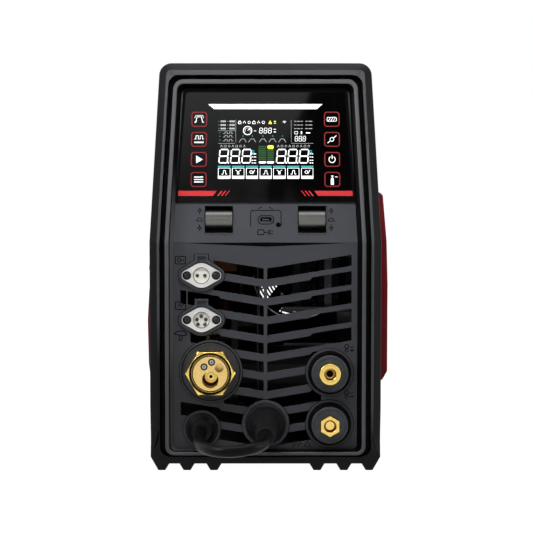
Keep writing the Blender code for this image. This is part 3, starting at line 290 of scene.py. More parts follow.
def printed(name, colour, glow=0.0, roughness=0.35):
    """Screen-printed ink, or a lit segment where glow is above zero."""
    made = Finish(name, colour, roughness, Specular_IOR_Level=0.12)
    patch = made.mottle(made.noise(700.0, 2.0), 0.92, 1.0)
    made.put("Base Color", patch)
    if glow:
        made.put("Emission Color", patch)
        made.put("Emission Strength", glow)
    return made.material


def gloss_overlay():
    """Black polycarbonate overlay: deep gloss with faint wipe marks."""
    made = Finish("overlay_gloss", (0.0008, 0.0008, 0.0009), 0.04, Coat_Weight=0.2, Coat_Roughness=0.02)
    wipe = made.noise(30.0, 5.0, (3.0, 1.0, 0.6))
    made.put("Roughness", made.spread(wipe, 0.03, 0.06))
    made.put("Base Color", made.blend(made.spread(wipe, 0.0, 1.0), (0.0006, 0.0006, 0.0007),
                                      (0.0012, 0.0012, 0.0013)))
    return made.material


BRASS_COLOUR = (1.000, 0.715, 0.200)
BEZEL = moulded("bezel_plastic", (0.0050, 0.0052, 0.0059), 0.37, 1000.0, 0.00003, 0.07)
# Lip of the bezels: a lit copy of the bezel's black, pale at the top and sides and fading to the bezel's dark
# towards the bottom; painted light.
LIP = painted_light_plastic("bezel_lip", (0.060, 0.061, 0.0645), (0.0050, 0.0052, 0.0059),
             0.056, 0.116, 1.0, 0.42)
# Drafted wall of the inner frame: pale on the left and dark on the right, as lamps from the left would light
# it; painted light.
DRAFT = painted_light_plastic("frame_draft", (0.070, 0.071, 0.076), (0.0015, 0.0015, 0.0017),
               0.042, 0.056, -0.15, -1.0, 0.06)
PANEL = moulded("panel_plastic", (0.0475, 0.0495, 0.0570), 0.42, 620.0, 0.00010, 0.20)
FRAME = moulded("frame_plastic", (0.078, 0.0795, 0.0845), 0.36, 900.0, 0.00003, 0.20)
# Near-black, darker than the plastics round it: painted shade on recess walls, gaps, hole floors,
# countersinks and insulator feet; also the matt margin round the overlay.
SHADE_BLACK = moulded("shade_black", (0.0015, 0.0015, 0.0017), 0.40, 900.0, 0.00002, 0.04)
DARK = moulded("inner_plastic", (0.012, 0.012, 0.013), 0.5, specular=0.2)
HANDLE = moulded("handle_plastic", (0.014, 0.0145, 0.016), 0.45, 700.0, 0.00008, 0.2)
RUBBER = rubber("cord_rubber", (0.0014, 0.0014, 0.0016), 0.34)
BOOT = rubber("boot_rubber", (0.0068, 0.0070, 0.0076), 0.34)
RED = painted("cover_red", (0.175, 0.0068, 0.0102), 0.38, 0.0, 0.10)
KNOB = moulded("knob_red", (0.260, 0.012, 0.016), 0.4)
SHEET = powder_coat("sheet_black", (0.012, 0.012, 0.013))
STEEL = metal("screw_steel", (0.110, 0.110, 0.115), 0.35)
NICKEL = metal("nickel_satin", (0.820, 0.815, 0.790), 0.38, dull=0.9)
ROLLER_METAL = metal("roller_metal", (0.180, 0.180, 0.168), 0.42, (0.02, 1.0, 1.0), 0.94)
DARK_METAL = metal("socket_shell", (0.050, 0.050, 0.052), 0.40)
ZINC = metal("zinc_steel", (0.520, 0.530, 0.545), 0.32, (0.1, 1.0, 1.0))
ALUMINIUM = metal("milled_aluminium", (0.680, 0.690, 0.710), 0.34, (1.0, 0.1, 1.0))
BRASS = metal("fitting_brass", (0.990, 0.700, 0.250), 0.26, dull=0.9)
CREAM = moulded("insert_cream", (0.880, 0.860, 0.780), 0.42, 1200.0, 0.00002)
GLOSS = gloss_overlay()
# Darker brown for the walls inside the brass bores: painted shade in the hollows.
BORE_SHADE = metal("bore_shaded_brass", (0.620, 0.340, 0.090), 0.36)
HUB = moulded("hub_plastic", (0.460, 0.460, 0.450), 0.45)
# Copper kept far darker than bare copper so that the wire inside the case stays dark: painted shade.
COPPER = metal("welding_wire", (0.240, 0.110, 0.060), 0.40, (6.0, 0.2, 0.2))
CORE = powder_coat("core_steel", (0.100, 0.100, 0.108), 0.55)
CAPACITOR = painted("capacitor_sleeve", (0.012, 0.014, 0.030), 0.25, 0.2)


def board_finish(name, level):
    """Green circuit board: tracks as a fine brick pattern under a solder mask."""
    green = (0.012, 0.110, 0.045)
    made = Finish(name, green, 0.35)
    mask = shade(green, level)
    track = made.node("ShaderNodeTexBrick", None,
                      {"Vector": made.place(), "Scale": 60.0, "Mortar Size": 0.03,
                       "Color1": shade(mask, 0.86), "Color2": mask, "Mortar": shade(mask, 1.6)})
    made.put("Base Color", track)
    made.put("Roughness", made.spread(made.noise(200.0, 3.0), 0.28, 0.45))
    return made.material


BOARD = board_finish("board_green", 0.7)
# Control board's mask nearly black so that it stays dark behind the roller windows: painted shade.
SHADED_BOARD = board_finish("board_painted_shade", 0.02)
WEARS = {
    BEZEL: ("front_bezel", "rear_bezel", "base_tray"),
    PANEL: ("front_panel",),
    FRAME: ("inner_frame",),
    HANDLE: ("carry_handle",),
    DARK: ("roller_carrier_left", "roller_carrier_right", "fan_frame", "fan_rotor", "power_switch",
           "power_rocker", "display_module", "mains_gland", "wire_spool", "pressure_arm",
           "door_latch_lower", "door_latch_upper"),
    RED: ("door_cover", "right_cover"),
    KNOB: ("tension_knob",),
    # centre_divider and feed_plate take the black sheet finish so that the inside of the case stays dark:
    # painted shade.
    SHEET: ("centre_divider", "right_side_panel", "top_cover", "wire_bay_door", "rear_panel", "feed_motor",
            "feed_plate", "fan_guard"),
    NICKEL: ("trigger_socket", "control_socket"),
    DARK_METAL: ("usb_socket",),
    ROLLER_METAL: ("roller_left", "roller_right"),
    ZINC: ("drive_roll", "idler_roll", "spool_axle"),
    STEEL: ("door_hinge_pin",),
    ALUMINIUM: ("heatsink",),
    BRASS: ("euro_connector", "positive_terminal", "negative_terminal", "gas_inlet", "gas_valve"),
    CREAM: ("trigger_insert", "control_insert"),
    GLOSS: ("display_glass",),
    HUB: ("spool_hub",),
    COPPER: ("wire_winding",),
    CORE: ("transformer",),
    CAPACITOR: ("capacitor_bank",),
    BOARD: ("main_board",),
    SHADED_BOARD: ("control_board",),
    RUBBER: ("euro_insulator", "positive_insulator", "negative_insulator", "park_socket",
             "plug_boot", "lead_grommet", "polarity_lead"),
}
for material, names in WEARS.items():
    for name in names:
        for slot in NODES[name].material_slots:
            slot.material = material


# ------------------------------------------------------------------ outlines and surfaces
def rounded(corners, steps=8):
    """Outline through (u, v, radius) corners, with an arc of that radius at each corner."""
    corner = np.array(corners, float)
    spot = corner[:, :2]
    back = np.roll(spot, 1, 0) - spot
    ahead = np.roll(spot, -1, 0) - spot
    back /= np.linalg.norm(back, axis=1, keepdims=True)
    ahead /= np.linalg.norm(ahead, axis=1, keepdims=True)
    half = np.arccos(np.clip((back * ahead).sum(1), -1.0, 1.0)) / 2.0
    pieces = []
    for here, b, a, h, radius in zip(spot, back, ahead, half, corner[:, 2]):
        if radius <= 0.0:
            pieces.append(here[None, :])
            continue
        middle = here + (a + b) / np.linalg.norm(a + b) * radius / math.sin(h)
        start = here + b * radius / math.tan(h) - middle
        end = here + a * radius / math.tan(h) - middle
        sweep = math.atan2(start[0] * end[1] - start[1] * end[0], start @ end)
        turn = sweep * np.linspace(0.0, 1.0, steps + 1)
        pieces.append(middle + np.stack((start[0] * np.cos(turn) - start[1] * np.sin(turn),
                                         start[0] * np.sin(turn) + start[1] * np.cos(turn)), 1))
    return np.concatenate(pieces)


def mirrored(half):
    """Closed outline from corners on the +u side, listed bottom to top."""
    return list(half) + [(-u, v, radius) for u, v, radius in reversed(half)]


def block(centre, width, height, radius=0.0, steps=6):
    """Rectangular outline with rounded corners, counterclockwise."""
    u, v = centre
    w, h = width / 2.0, height / 2.0
    return rounded([(u + w, v - h, radius), (u + w, v + h, radius),
                    (u - w, v + h, radius), (u - w, v - h, radius)], steps)


def arch(half, low, top, radius_low, radius_top):
    """Outline of the case front: upright sides, drawn in above LEAN_Z."""
    half_top = half - TAPER * (top - LEAN_Z)
    return rounded(mirrored([(half, low, radius_low), (half, LEAN_Z, 0.0), (half_top, top, radius_top)]))


def case_outline():
    """Front outline of a bezel, with the runners under it."""
    corners = []
    for x in RIDGE_X:
        corners += [(x - RIDGE_ROOT, FOOT_H, 0.0), (x - RIDGE_TIP, 0.0, 0.0),
                    (x + RIDGE_TIP, 0.0, 0.0), (x + RIDGE_ROOT, FOOT_H, 0.0)]
    half_top = BEZEL_HALF - TAPER * (BEZEL_TOP - LEAN_Z)
    half = corners[:-1] + [(BEZEL_HALF - 0.0007, 0.0130, 0.002), (BEZEL_HALF, 0.0600, 0.0),
                           (BEZEL_HALF, LEAN_Z, 0.0), (half_top, BEZEL_TOP, 0.012)]
    return rounded(mirrored(half))


def angles_of(outline, centre):
    """Direction of each point of an outline from a centre."""
    return np.arctan2(outline[:, 1] - centre[1], outline[:, 0] - centre[0])


def seen_at(outline, centre, angles):
    """Point where a ray from the centre at each angle crosses a star-shaped outline.

    On each edge from p to q the crossing is p + s (q - p), with s from the cross products
    of the ray with p and with q - p.
    """
    around = angles_of(outline, centre)
    order = np.argsort(around)
    p = outline[order] - centre
    around = around[order]
    p = np.concatenate((p[-1:], p, p[:1]))
    around = np.concatenate((around[-1:] - 2 * np.pi, around, around[:1] + 2 * np.pi))
    index = np.clip(np.searchsorted(around, angles, side="right") - 1, 0, len(p) - 2)
    a, b = p[index], p[index + 1]
    ray = np.stack((np.cos(angles), np.sin(angles)), 1)
    edge = b - a
    bottom = edge[:, 0] * ray[:, 1] - edge[:, 1] * ray[:, 0]
    top = a[:, 1] * ray[:, 0] - a[:, 0] * ray[:, 1]
    s = np.clip(np.where(np.abs(bottom) > 1e-12, top / np.where(bottom == 0, 1, bottom), 0.0), 0.0, 1.0)
    return centre + a + edge * s[:, None]


def inset(outline, distance):
    """Outline moved inwards by a distance: each point moves along the mitre of its two edges."""
    ahead = np.roll(outline, -1, 0) - outline
    ahead /= np.maximum(np.linalg.norm(ahead, axis=1, keepdims=True), 1e-9)
    normal = np.stack((ahead[:, 1], -ahead[:, 0]), 1)
    before = np.roll(normal, 1, 0)
    mitre = (normal + before) / np.maximum(1.0 + (normal * before).sum(1, keepdims=True), 0.35)
    return outline - mitre * np.broadcast_to(distance, len(outline))[:, None]


def evenly(outline, count):
    """Closed outline resampled at equal steps of its own length."""
    ring = np.concatenate((outline, outline[:1]))
    length = np.concatenate(([0.0], np.cumsum(np.linalg.norm(np.diff(ring, axis=0), axis=1))))
    at = np.linspace(0.0, length[-1], count, endpoint=False)
    return np.stack((np.interp(at, length, ring[:, 0]), np.interp(at, length, ring[:, 1])), 1)


def circle(radius, sides=96, centre=(0.0, 0.0)):
    """Points of a circle, or of a ring that has a radius for each angle."""
    turn = np.linspace(0.0, 2.0 * np.pi, sides, endpoint=False)
    return np.stack((np.cos(turn), np.sin(turn)), 1) * np.broadcast_to(radius, sides)[:, None] + centre


def matched(outlines, halves):
    """Outlines read at the same angles round the middle of the case, so that each has as many points.

    The angles are an even spread, those of every corner, and those of the crease at LEAN_Z.
    """
    centre = np.array((0.0, 0.19))
    crease = np.array([(side * half, LEAN_Z) for side in (-1, 1) for half in halves])
    angles = [np.linspace(-np.pi, np.pi, 360, endpoint=False)]
    angles += [angles_of(line, centre) for line in (crease, *outlines)]
    angles = np.unique(np.concatenate(angles).round(7))
    return [seen_at(line, centre, angles) for line in outlines]


def stacked(steps, y=0.0, facing="front"):
    """Rings from (outline, move, height): the outline moved in, kept off the floor, at its height."""
    rings = []
    for outline, move, height in steps:
        u, v = inset(outline, move).T
        rings.append(set_out((0.0, y, 0.0), facing, u, np.maximum(v, 0.0), np.broadcast_to(height, len(u))))
    return rings


class Shape:
    """Points and faces of one mesh, gathered from several surfaces."""

    def __init__(self):
        self.points = []
        self.faces = []
        self.count = 0

    def add(self, points, faces):
        """Takes one surface into the mesh."""
        self.faces.append(np.asarray(faces, np.int64) + self.count)
        self.points.append(np.asarray(points, float).reshape(-1, 3))
        self.count += len(self.points[-1])

    def rings(self, rings, loop=False, tip=False, base=False):
        """Skin over rings of equally many points, each ring closed in itself.

        Face (r, k) joins points k and k + 1 of ring r to those of ring r + 1. loop also joins
        the last ring to the first; tip and base close an end with a fan to its middle.
        """
        rings = np.asarray(rings, float)
        many, around = rings.shape[:2]
        r, k = np.meshgrid(np.arange(many if loop else many - 1), np.arange(around), indexing="ij")
        after, across = (k + 1) % around, (r + 1) % many
        faces = np.stack((r * around + k, r * around + after, across * around + after,
                          across * around + k), -1).reshape(-1, 4)
        points = [rings.reshape(-1, 3)]
        k = np.arange(around)
        if tip:
            end = (many - 1) * around
            points.append(rings[-1].mean(0)[None])
            spot = many * around
            faces = np.concatenate((faces, np.stack((end + k, end + (k + 1) % around,
                                                     np.full(around, spot), np.full(around, spot)), 1)))
        if base:
            points.append(rings[0].mean(0)[None])
            spot = many * around + (1 if tip else 0)
            faces = np.concatenate((faces, np.stack(((k + 1) % around, k, np.full(around, spot),
                                                     np.full(around, spot)), 1)))
        self.add(np.concatenate(points), faces)
        return self

    def lathe(self, centre, profile, sides=96, soft=0.0002, tip=True, base=True, facing="front"):
        """Turned surface: profile (radius, height) swept round the axis, back outer edge first."""
        line = softened(np.array(profile, float), soft)
        u, v = line[:, :1] * circle(1.0, sides).T[:, None]
        w = np.repeat(line[:, 1:], sides, 1)
        return self.rings(set_out(centre, facing, u, v, w), tip=tip, base=base)

    def tube(self, centre, profile, sides=96, soft=0.0001, facing="front"):
        """Turned surface that stays open at both ends."""
        return self.lathe(centre, profile, sides, soft, tip=False, base=False, facing=facing)

    def slab(self, centre, outline, steps, facing="front"):
        """Flat piece with a shaped edge: the outline moved in by each step and set at its height."""
        return self.rings([set_out(centre, facing, *inset(outline, move).T, np.full(len(outline), height))
                           for move, height in steps], tip=True, base=True)

    def mesh(self, name, material, slot, node=None, body="chassis", smooth=40.0, lean=False):
        """Makes the object, shades it, lets it ride on a body and stand for a node where one is named."""
        points = np.concatenate(self.points)
        if lean:
            points = leaned(points)
        data = bpy.data.meshes.new(name)
        faces = [tuple(dict.fromkeys(face)) for face in np.concatenate(self.faces).tolist()]
        data.from_pydata(points, [], faces)
        data.materials.append(material)
        data.validate()
        if smooth:
            data.shade_smooth()
            data.set_sharp_from_angle(angle=math.radians(smooth))
        obj = bpy.data.objects.new(name, data)
        bpy.context.scene.collection.objects.link(obj)
        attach(obj, body)
        if node:
            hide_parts(node)
        return obj


def set_out(centre, facing, u, v, w):
    """Points from a piece's own right, up and outwards coordinates."""
    right, up, out = np.array(FACING[facing], float)
    return (np.asarray(centre, float) + np.asarray(u)[..., None] * right
            + np.asarray(v)[..., None] * up + np.asarray(w)[..., None] * out)


def leaned(points):
    """Points above LEAN_Z moved in towards the middle of the case, as the case leans."""
    points = points.copy()
    rise = np.maximum(0.0, points[:, 2] - LEAN_Z)
    points[:, 1] += rise * np.where(points[:, 1] < 0.0, LEAN_FRONT, -LEAN_REAR)
    return points


def softened(line, radius, steps=3):
    """Open profile with each corner replaced by a short quadratic arc of about that radius."""
    if radius <= 0.0 or len(line) < 3:
        return line
    here, back, ahead = line[1:-1], line[:-2] - line[1:-1], line[2:] - line[1:-1]
    size_b = np.linalg.norm(back, axis=1, keepdims=True)
    size_a = np.linalg.norm(ahead, axis=1, keepdims=True)
    start = here + back * np.minimum(0.45, radius / size_b)
    end = here + ahead * np.minimum(0.45, radius / size_a)
    t = np.linspace(0.0, 1.0, steps + 1)[None, :, None]
    arc = start[:, None] * (1 - t) ** 2 + 2 * here[:, None] * t * (1 - t) + end[:, None] * t ** 2
    return np.concatenate((line[:1], arc.reshape(-1, 2), line[-1:]))


def smooth_route(points, parts):
    """Cubic curve through the points, with each span in so many parts.

    Its direction at a point is that from the point before to the point after.
    """
    points = np.array(points, float)
    padded = np.concatenate((2 * points[:1] - points[1:2], points, 2 * points[-1:] - points[-2:-1]))
    a, b, c, d = padded[:-3, None], padded[1:-2, None], padded[2:-1, None], padded[3:, None]
    t = (np.arange(parts) / parts)[None, :, None]
    route = 0.5 * (2 * b + (c - a) * t + (2 * a - 5 * b + 4 * c - d) * t ** 2
                   + (3 * b - a - 3 * c + d) * t ** 3)
    return np.concatenate((route.reshape(-1, 3), points[-1:]))


def cable(route, radius, sides=32):
    """Round tube along a route: circles square to the path, carried along without twist."""
    route = np.asarray(route, float)
    along = np.gradient(route, axis=0)
    along /= np.linalg.norm(along, axis=1, keepdims=True)
    side = np.cross(along, (0.0, 0.0, 1.0))
    side /= np.linalg.norm(side, axis=1, keepdims=True)
    up = np.cross(side, along)
    u, v = radius * circle(1.0, sides).T[:, :, None]
    rings = route[:, None] + u * side[:, None] + v * up[:, None]
    return Shape().rings(rings[:, ::-1], tip=True, base=True)


# ------------------------------------------------------------------ camera
CAMERA_LENS = 95.98
CAMERA_PLACE = (0.001, -1.590, 0.2783)
CAMERA_DIP = 3.483             # degrees below level

lens = bpy.data.cameras.new("camera")
lens.lens = CAMERA_LENS
lens.sensor_width = 36.0
lens.clip_start = 0.01
camera = bpy.data.objects.new("camera", lens)
camera.location = CAMERA_PLACE
camera.rotation_euler = (math.radians(90.0 - CAMERA_DIP), 0.0, 0.0)
bpy.context.scene.collection.objects.link(camera)
bpy.context.scene.camera = camera


# ------------------------------------------------------------------ polarity lead, boot and grommet
def plug_boot():
    """Tapered boot of the cable plug, with shallow grip ribs round its waist."""
    base = SEAT_Y - 0.0045 - GAP
    length = base - BOOT_TIP_Y
    rise = np.linspace(0.0, length - 0.0008, 90)
    radius = np.interp(rise, (0.0, 0.006, 0.010, length - 0.040, length - 0.024, length - 0.006,
                              length - 0.0008), (0.0186, 0.0186, 0.0170, 0.0140, 0.0112, 0.0090, 0.0087))
    ribbed = (rise > 0.022) & (rise < 0.050)
    radius -= 0.0005 * ribbed * (0.5 - 0.5 * np.cos((rise - 0.022) / 0.004 * 2 * np.pi))
    profile = [(0.0186, 0.0), *zip(radius[1:], rise[1:]), (0.0080, length), (0.0057, length)]
    sleeve = Shape().lathe((PARK[0], base, PARK[1]), profile, 96, 0.0)
    return sleeve.mesh("boot_sleeve", BOOT, "cord_rubber", "plug_boot", smooth=50.0)


lead_route = smooth_route(LEAD_ROUTE, 8)
lead = cable(lead_route, LEAD_RADIUS, 36).mesh("lead_cable", RUBBER, "cord_rubber", "polarity_lead",
                                               smooth=60.0)
boot = plug_boot()


def grommet():
    """Ribbed rubber grommet round the lead, and the middle socket behind the boot."""
    seat = seated(GROMMET)
    profile = [(0.0155, 0.0), (0.0155, 0.0020), (0.0130, 0.0030), (0.0116, 0.0045), (0.0108, 0.0056),
               (0.0104, 0.0062), (0.0107, 0.0070), (0.0107, 0.0084), (0.0102, 0.0090), (0.0104, 0.0098),
               (0.0104, 0.0112), (0.0099, 0.0118), (0.0100, 0.0138), (0.0092, 0.0145), (0.0056, 0.0145)]
    Shape().lathe(seat, profile, 96, 0.0003).mesh("grommet_sleeve", BOOT, "cord_rubber", "lead_grommet")
    rims = Shape()
    for radius, height in ((0.0132, 0.0030), (0.0106, 0.0085), (0.0099, 0.0139)):
        rims.tube(seat, [(radius, height - 0.0004), (radius + 0.0003, height),
                         (radius, height + 0.0004)], 96, 0.0)
    rims.mesh("grommet_rims", LIP, "cord_rubber")
    profile = [(0.0190, 0.0), (0.0190, 0.0035), (0.0180, 0.0045), (0.0150, 0.0045)]
    socket = Shape().lathe(seated(PARK), profile, 96, 0.0002)
    socket.mesh("park_socket_body", turned_plastic("park_plastic", (0.020, 0.020, 0.021), PARK),
                "insulator_black", "park_socket")


# ------------------------------------------------------------------ bezels and inner frame
def hoop(end, face_y):
    """Front or rear hoop of the case as a closed skin with eased edges.

    Its rings are the outer wall, a chamfered band that dies out over the runners, the lip, the
    eased mouth and its wall, then back along the inside.
    """
    outer, mouth, inside = matched((case_outline(), arch(0.101, 0.0129, 0.3804, 0.010, 0.010),
                                    arch(0.107, FOOT_H + 0.0036, COVER_TOP - 0.002, 0.008, 0.004)),
                                   (BEZEL_HALF, 0.107, 0.101))
    rise = np.clip((outer[:, 1] - 0.012) / 0.020, 0.0, 1.0)
    rise = rise * rise * (3.0 - 2.0 * rise)
    band = 0.0066 * rise + 0.0008
    drop = 0.0058 * rise + 0.0008
    shell = [(inside, 0.0, -0.018), (inside, 0.0, -BEZEL_DEPTH),
             (outer, 0.0, -BEZEL_DEPTH), (outer, 0.0, -0.020), (outer, 0.0, -drop - 0.0012),
             (outer, 0.0003 * rise, -drop - 0.0003), (outer, 0.0011 * rise + 0.0001, -drop + 0.0006 * rise),
             (outer, band - 0.0007 * rise, -0.0006 * rise), (outer, band, -0.0001)]
    lip = [(outer, band, -0.0001), (outer, band + 0.0006 * rise, 0.0), (mouth, -0.0008, 0.0),
           (mouth, -0.0002, -0.0002), (mouth, 0.0, -0.0008)]
    # The mouth's wall is near-black: painted shade inside the recess.
    wall = [(mouth, 0.0, -0.0008), (mouth, 0.0, -0.018), (inside, 0.0, -0.018)]
    for part, steps, material in (("shell", shell, BEZEL), ("lip", lip, LIP), ("mouth", wall, SHADE_BLACK)):
        Shape().rings(stacked(steps, face_y, end)).mesh(
            end + "_hoop_" + part, material, "bezel_plastic", end + "_bezel", smooth=35.0, lean=True)


def inner_frame():
    """Frame between the bezel and the panel: flange, raised ring with eased edges, drafted wall."""
    flange, ring, inner, far = matched((arch(0.1007, 0.0132, 0.3801, 0.010, 0.010),
                                        arch(0.0962, 0.0136 + GAP, 0.3764, 0.0085, 0.010),
                                        arch(0.0926, 0.0172, 0.3721, 0.0060, 0.0070),
                                        arch(0.0883, 0.0182, 0.3680, 0.0050, 0.0060)), (0.0962, 0.0926))
    ease = 0.0008
    bar = [(ring, 0.0, FLANGE_Y - 0.0030), (ring, 0.0, RING_Y + ease),
           (ring, ease * 0.3, RING_Y + ease * 0.3), (ring, ease, RING_Y), (inner, -ease, RING_Y),
           (inner, -ease * 0.3, RING_Y + ease * 0.3), (inner, 0.0002, RING_Y + ease)]
    neck = [(inner, 0.0002, RING_Y + ease), (inner, 0.0012, RING_Y + 0.0026)]
    draft = [(inner, 0.0012, RING_Y + 0.0026), (far, 0.0, PANEL_Y - GAP)]
    wall = [(far, 0.0, PANEL_Y - GAP), (flange, 0.0, PANEL_Y - GAP), (flange, 0.0, FLANGE_Y),
            (ring, -0.0002, FLANGE_Y), (ring, 0.0, FLANGE_Y - 0.0002), (ring, 0.0, FLANGE_Y - 0.0030)]
    # Neck and walls near-black as painted shade; the draft pale on its left as painted light.
    for part, steps, material in (("ring", bar, FRAME), ("neck", neck, SHADE_BLACK), ("draft", draft, DRAFT),
                                  ("walls", wall, SHADE_BLACK)):
        Shape().rings(stacked([(line, move, -y) for line, move, y in steps])).mesh(
            "frame_" + part, material, "panel_plastic", "inner_frame", smooth=35.0, lean=True)


def overlay_margin():
    """Matt black margin round the glossy overlay, where it sits in its gasket."""
    outer, inner = (rounded(mirrored([(low, z, 0.0005), (high, top, 0.003)]))
                    for low, z, high, top in ((0.0868, 0.2571, 0.0802, 0.3680),
                                              (0.0846, 0.2574, 0.0778, 0.3640)))
    steps = [(outer, 0.0, -0.0006), (outer, 0.0, 0.0001), (inner, 0.0, 0.0001), (inner, 0.0, 0.0)]
    Shape().rings(stacked(steps, GLASS_Y)).mesh("overlay_margin", SHADE_BLACK, "screen_gloss",
                                                smooth=0.0, lean=True)


def ear_outline(centre, middle_r, end_r, reach, tab=None):
    """Two-ear flange outline: a middle circle and two end circles with their tangent lines."""
    phi = math.acos((middle_r - end_r) / reach)

    def arc(at, radius, start, end, steps):
        turn = np.linspace(start, end, steps)
        return np.stack((centre[0] + at + radius * np.cos(turn), centre[1] + radius * np.sin(turn)), 1)

    top = [arc(0.0, middle_r, phi, math.pi - phi, 16)]
    if tab:
        width, height = tab
        edge = max(phi, math.acos(width / middle_r))
        top = [arc(0.0, middle_r, phi, edge, 6),
               np.array([(centre[0] + width, centre[1] + height), (centre[0] - width, centre[1] + height)]),
               arc(0.0, middle_r, math.pi - edge, math.pi - phi, 6)]
    return np.concatenate([arc(reach, end_r, -phi, phi, 14)] + top
                          + [arc(-reach, end_r, math.pi - phi, math.pi + phi, 14),
                             arc(0.0, middle_r, math.pi + phi, 2 * math.pi - phi, 16)])


def border(shape, outer, inner):
    """Raised border: the panel's outline up, over an eased top and down again on the inside."""
    ease, proud = 0.0005, 0.0019
    up = [(0.0, 0.0), (0.0, proud - ease), (ease * 0.3, proud - ease * 0.3), (ease, proud)]
    shape.rings(stacked([(outer, move, height) for move, height in up]
                        + [(inner, -move, height) for move, height in up[::-1]], PANEL_Y))


def painted_shadow_ring(shape, outer, inner, height):
    """Flat dark ring between two outlines with equally many points: a painted shadow."""
    shape.rings(stacked([(outer, 0.0, height), (inner, 0.0, height)], PANEL_Y))


def panel_seats():
    """Raised borders round the seven fittings, moulded with the panel, and painted shadow rings beside them.
    """
    borders, shadow_rings = Shape(), Shape()
    for at, outer, inner, edge, floor, height in (
            (EURO, 0.0303, 0.0284, 0.0285, 0.0275, 0.0020),
            (POSITIVE, 0.0230, 0.0206, 0.0208, 0.0200, 0.0008),
            (NEGATIVE, 0.0230, 0.0206, 0.0208, 0.0200, 0.0008),
            (PARK, 0.0228, 0.0192, 0.0194, 0.0186, 0.0008),
            (GROMMET, 0.0180, 0.0158, 0.0160, 0.0150, 0.0008)):
        border(borders, circle(outer, 128, at), circle(inner, 128, at))
        painted_shadow_ring(shadow_rings, circle(outer + 0.0006, 128, at), circle(outer - 0.0001, 128, at), 0.0001)
        painted_shadow_ring(shadow_rings, circle(edge, 128, at), circle(floor, 128, at), height)
    for at in (TRIGGER, CONTROL):
        outer, wider, narrower, edge, floor = (
            evenly(ear_outline(at, 0.0156 + d, 0.0082 + d, 0.0141, tabbed and (0.0063 + d, 0.0201 + d)), 160)
            for d, tabbed in ((0.0, True), (0.0006, True), (-0.0001, True), (-0.0029, None), (-0.0037, None)))
        border(borders, outer, evenly(ear_outline(at, 0.0126, 0.0055, 0.0141, (0.0041, 0.0181)), 160))
        painted_shadow_ring(shadow_rings, wider, narrower, 0.0001)
        painted_shadow_ring(shadow_rings, edge, floor, 0.0003)
    borders.mesh("panel_borders", PANEL, "panel_plastic", smooth=35.0)
    shadow_rings.mesh("seat_painted_shadows", SHADE_BLACK, "panel_plastic", smooth=0.0)


# ------------------------------------------------------------------ sockets and terminals
def hexagon(across, turn=0.0, sides=96):
    """Radius of a hexagon at each of many angles: corner radius times cos 30 over cos of the fold."""
    angle = np.linspace(0.0, 2.0 * np.pi, sides, endpoint=False) + turn
    fold = np.mod(angle, np.pi / 3.0) - np.pi / 6.0
    return across * math.cos(math.pi / 6.0) / np.cos(fold)


def seated(at, dx=0.0, dz=0.0):
    """Point on the plane that the fittings sit on, beside the centre of one."""
    return (at[0] + dx, SEAT_Y, at[1] + dz)


def polar(centre, radius, height, sides=96, facing="front"):
    """Closed ring with a radius for each angle, at one height."""
    return set_out(centre, facing, *circle(radius, sides).T, np.full(sides, height))


def screw(shape, centre, radius, rise, facing="front"):
    """Button screw: a domed head with a hexagonal socket sunk into it."""
    key = hexagon(radius * 0.46)
    dome = [(radius * share, rise * (1.0 - 0.75 * share ** 4)) for share in (0.97, 0.88, 0.72, 0.60)]
    steps = [(radius, 0.0), (radius, rise * 0.25), *dome, (key, rise), (key, rise * 0.25)]
    shape.rings([polar(centre, size, height, facing=facing) for size, height in steps], tip=True, base=True)


def round_socket(name, at, pins, slot_angle):
    """Panel socket: two-ear flange and threaded barrel, insert with a key, pins and ear screws."""
    x, z = at
    seat = seated(at)
    flange = evenly(ear_outline((0.0, 0.0), 0.0119, 0.0049, 0.0141), 192)
    shell = Shape().slab(seat, flange, [(0.0, 0.0), (0.0, 0.0016), (0.0001, 0.0019), (0.0004, 0.0020)])
    thread = [(0.0091 - 0.00018 * (k % 2), 0.0020 + 0.00026 * k) for k in range(9)]
    shell.tube(seat, thread + [(0.0090, 0.0046), (0.0080, 0.0046), (0.0079, 0.0044), (0.0079, 0.0016)])
    shell.mesh(name + "_shell", NICKEL, "nickel", name + "_socket", smooth=35.0)
    core = Shape().lathe(seat, [(0.0075, 0.0), (0.0075, 0.0032), (0.0073, 0.0034),
                                (0.0068, 0.0034), (0.0066, 0.0031)], 96, 0.0001)
    turn = np.linspace(slot_angle - 0.22, slot_angle + 0.22, 9)
    arc = np.stack((np.cos(turn), np.sin(turn)), 1)
    core.slab(seat, np.concatenate((0.0073 * arc, 0.0062 * arc[::-1])),
              [(0.0, 0.0030), (0.0, 0.0039), (0.0002, 0.0040)])
    core.mesh(name + "_core", CREAM, "insert_plastic", name + "_insert", smooth=35.0)
    wells, contacts, countersink_shades, screws = (Shape() for _ in range(4))
    for pin in pins:
        spot = seated(at, *pin)
        wells.lathe(spot, [(0.0017, 0.0030), (0.0017, 0.0037)], 32, 0.0)
        contacts.lathe(spot, [(0.0011, 0.0032), (0.0011, 0.0038), (0.0010, 0.0039),
                              (0.0007, 0.0039), (0.0006, 0.0038)], 24, 0.0001, tip=False)
    wells.tube(seat, [(0.0079, 0.0034), (0.0079, 0.0035), (0.0074, 0.0035), (0.0074, 0.0034)], 96, 0.0)
    # Near-black dishes under the ear screws: painted shade of their countersinks.
    for ear in (x - 0.0141, x + 0.0141):
        countersink_shades.lathe((ear, SEAT_Y - 0.0020, z),
                      [(0.0042, 0.0), (0.0042, 0.0004), (0.0040, 0.0005)], 48, 0.0001)
        screw(screws, (ear, SEAT_Y - 0.0024, z), 0.0031, 0.0014)
    # Pin wells and the ring round the insert in near-black: painted shade in the hollows.
    wells.mesh(name + "_wells", SHADE_BLACK, "insulator_black")
    contacts.mesh(name + "_contacts", ROLLER_METAL, "connector_brass")
    countersink_shades.mesh(name + "_washers", SHADE_BLACK, "zinc_steel")
    screws.mesh(name + "_screws", DARK_METAL, "insulator_black")


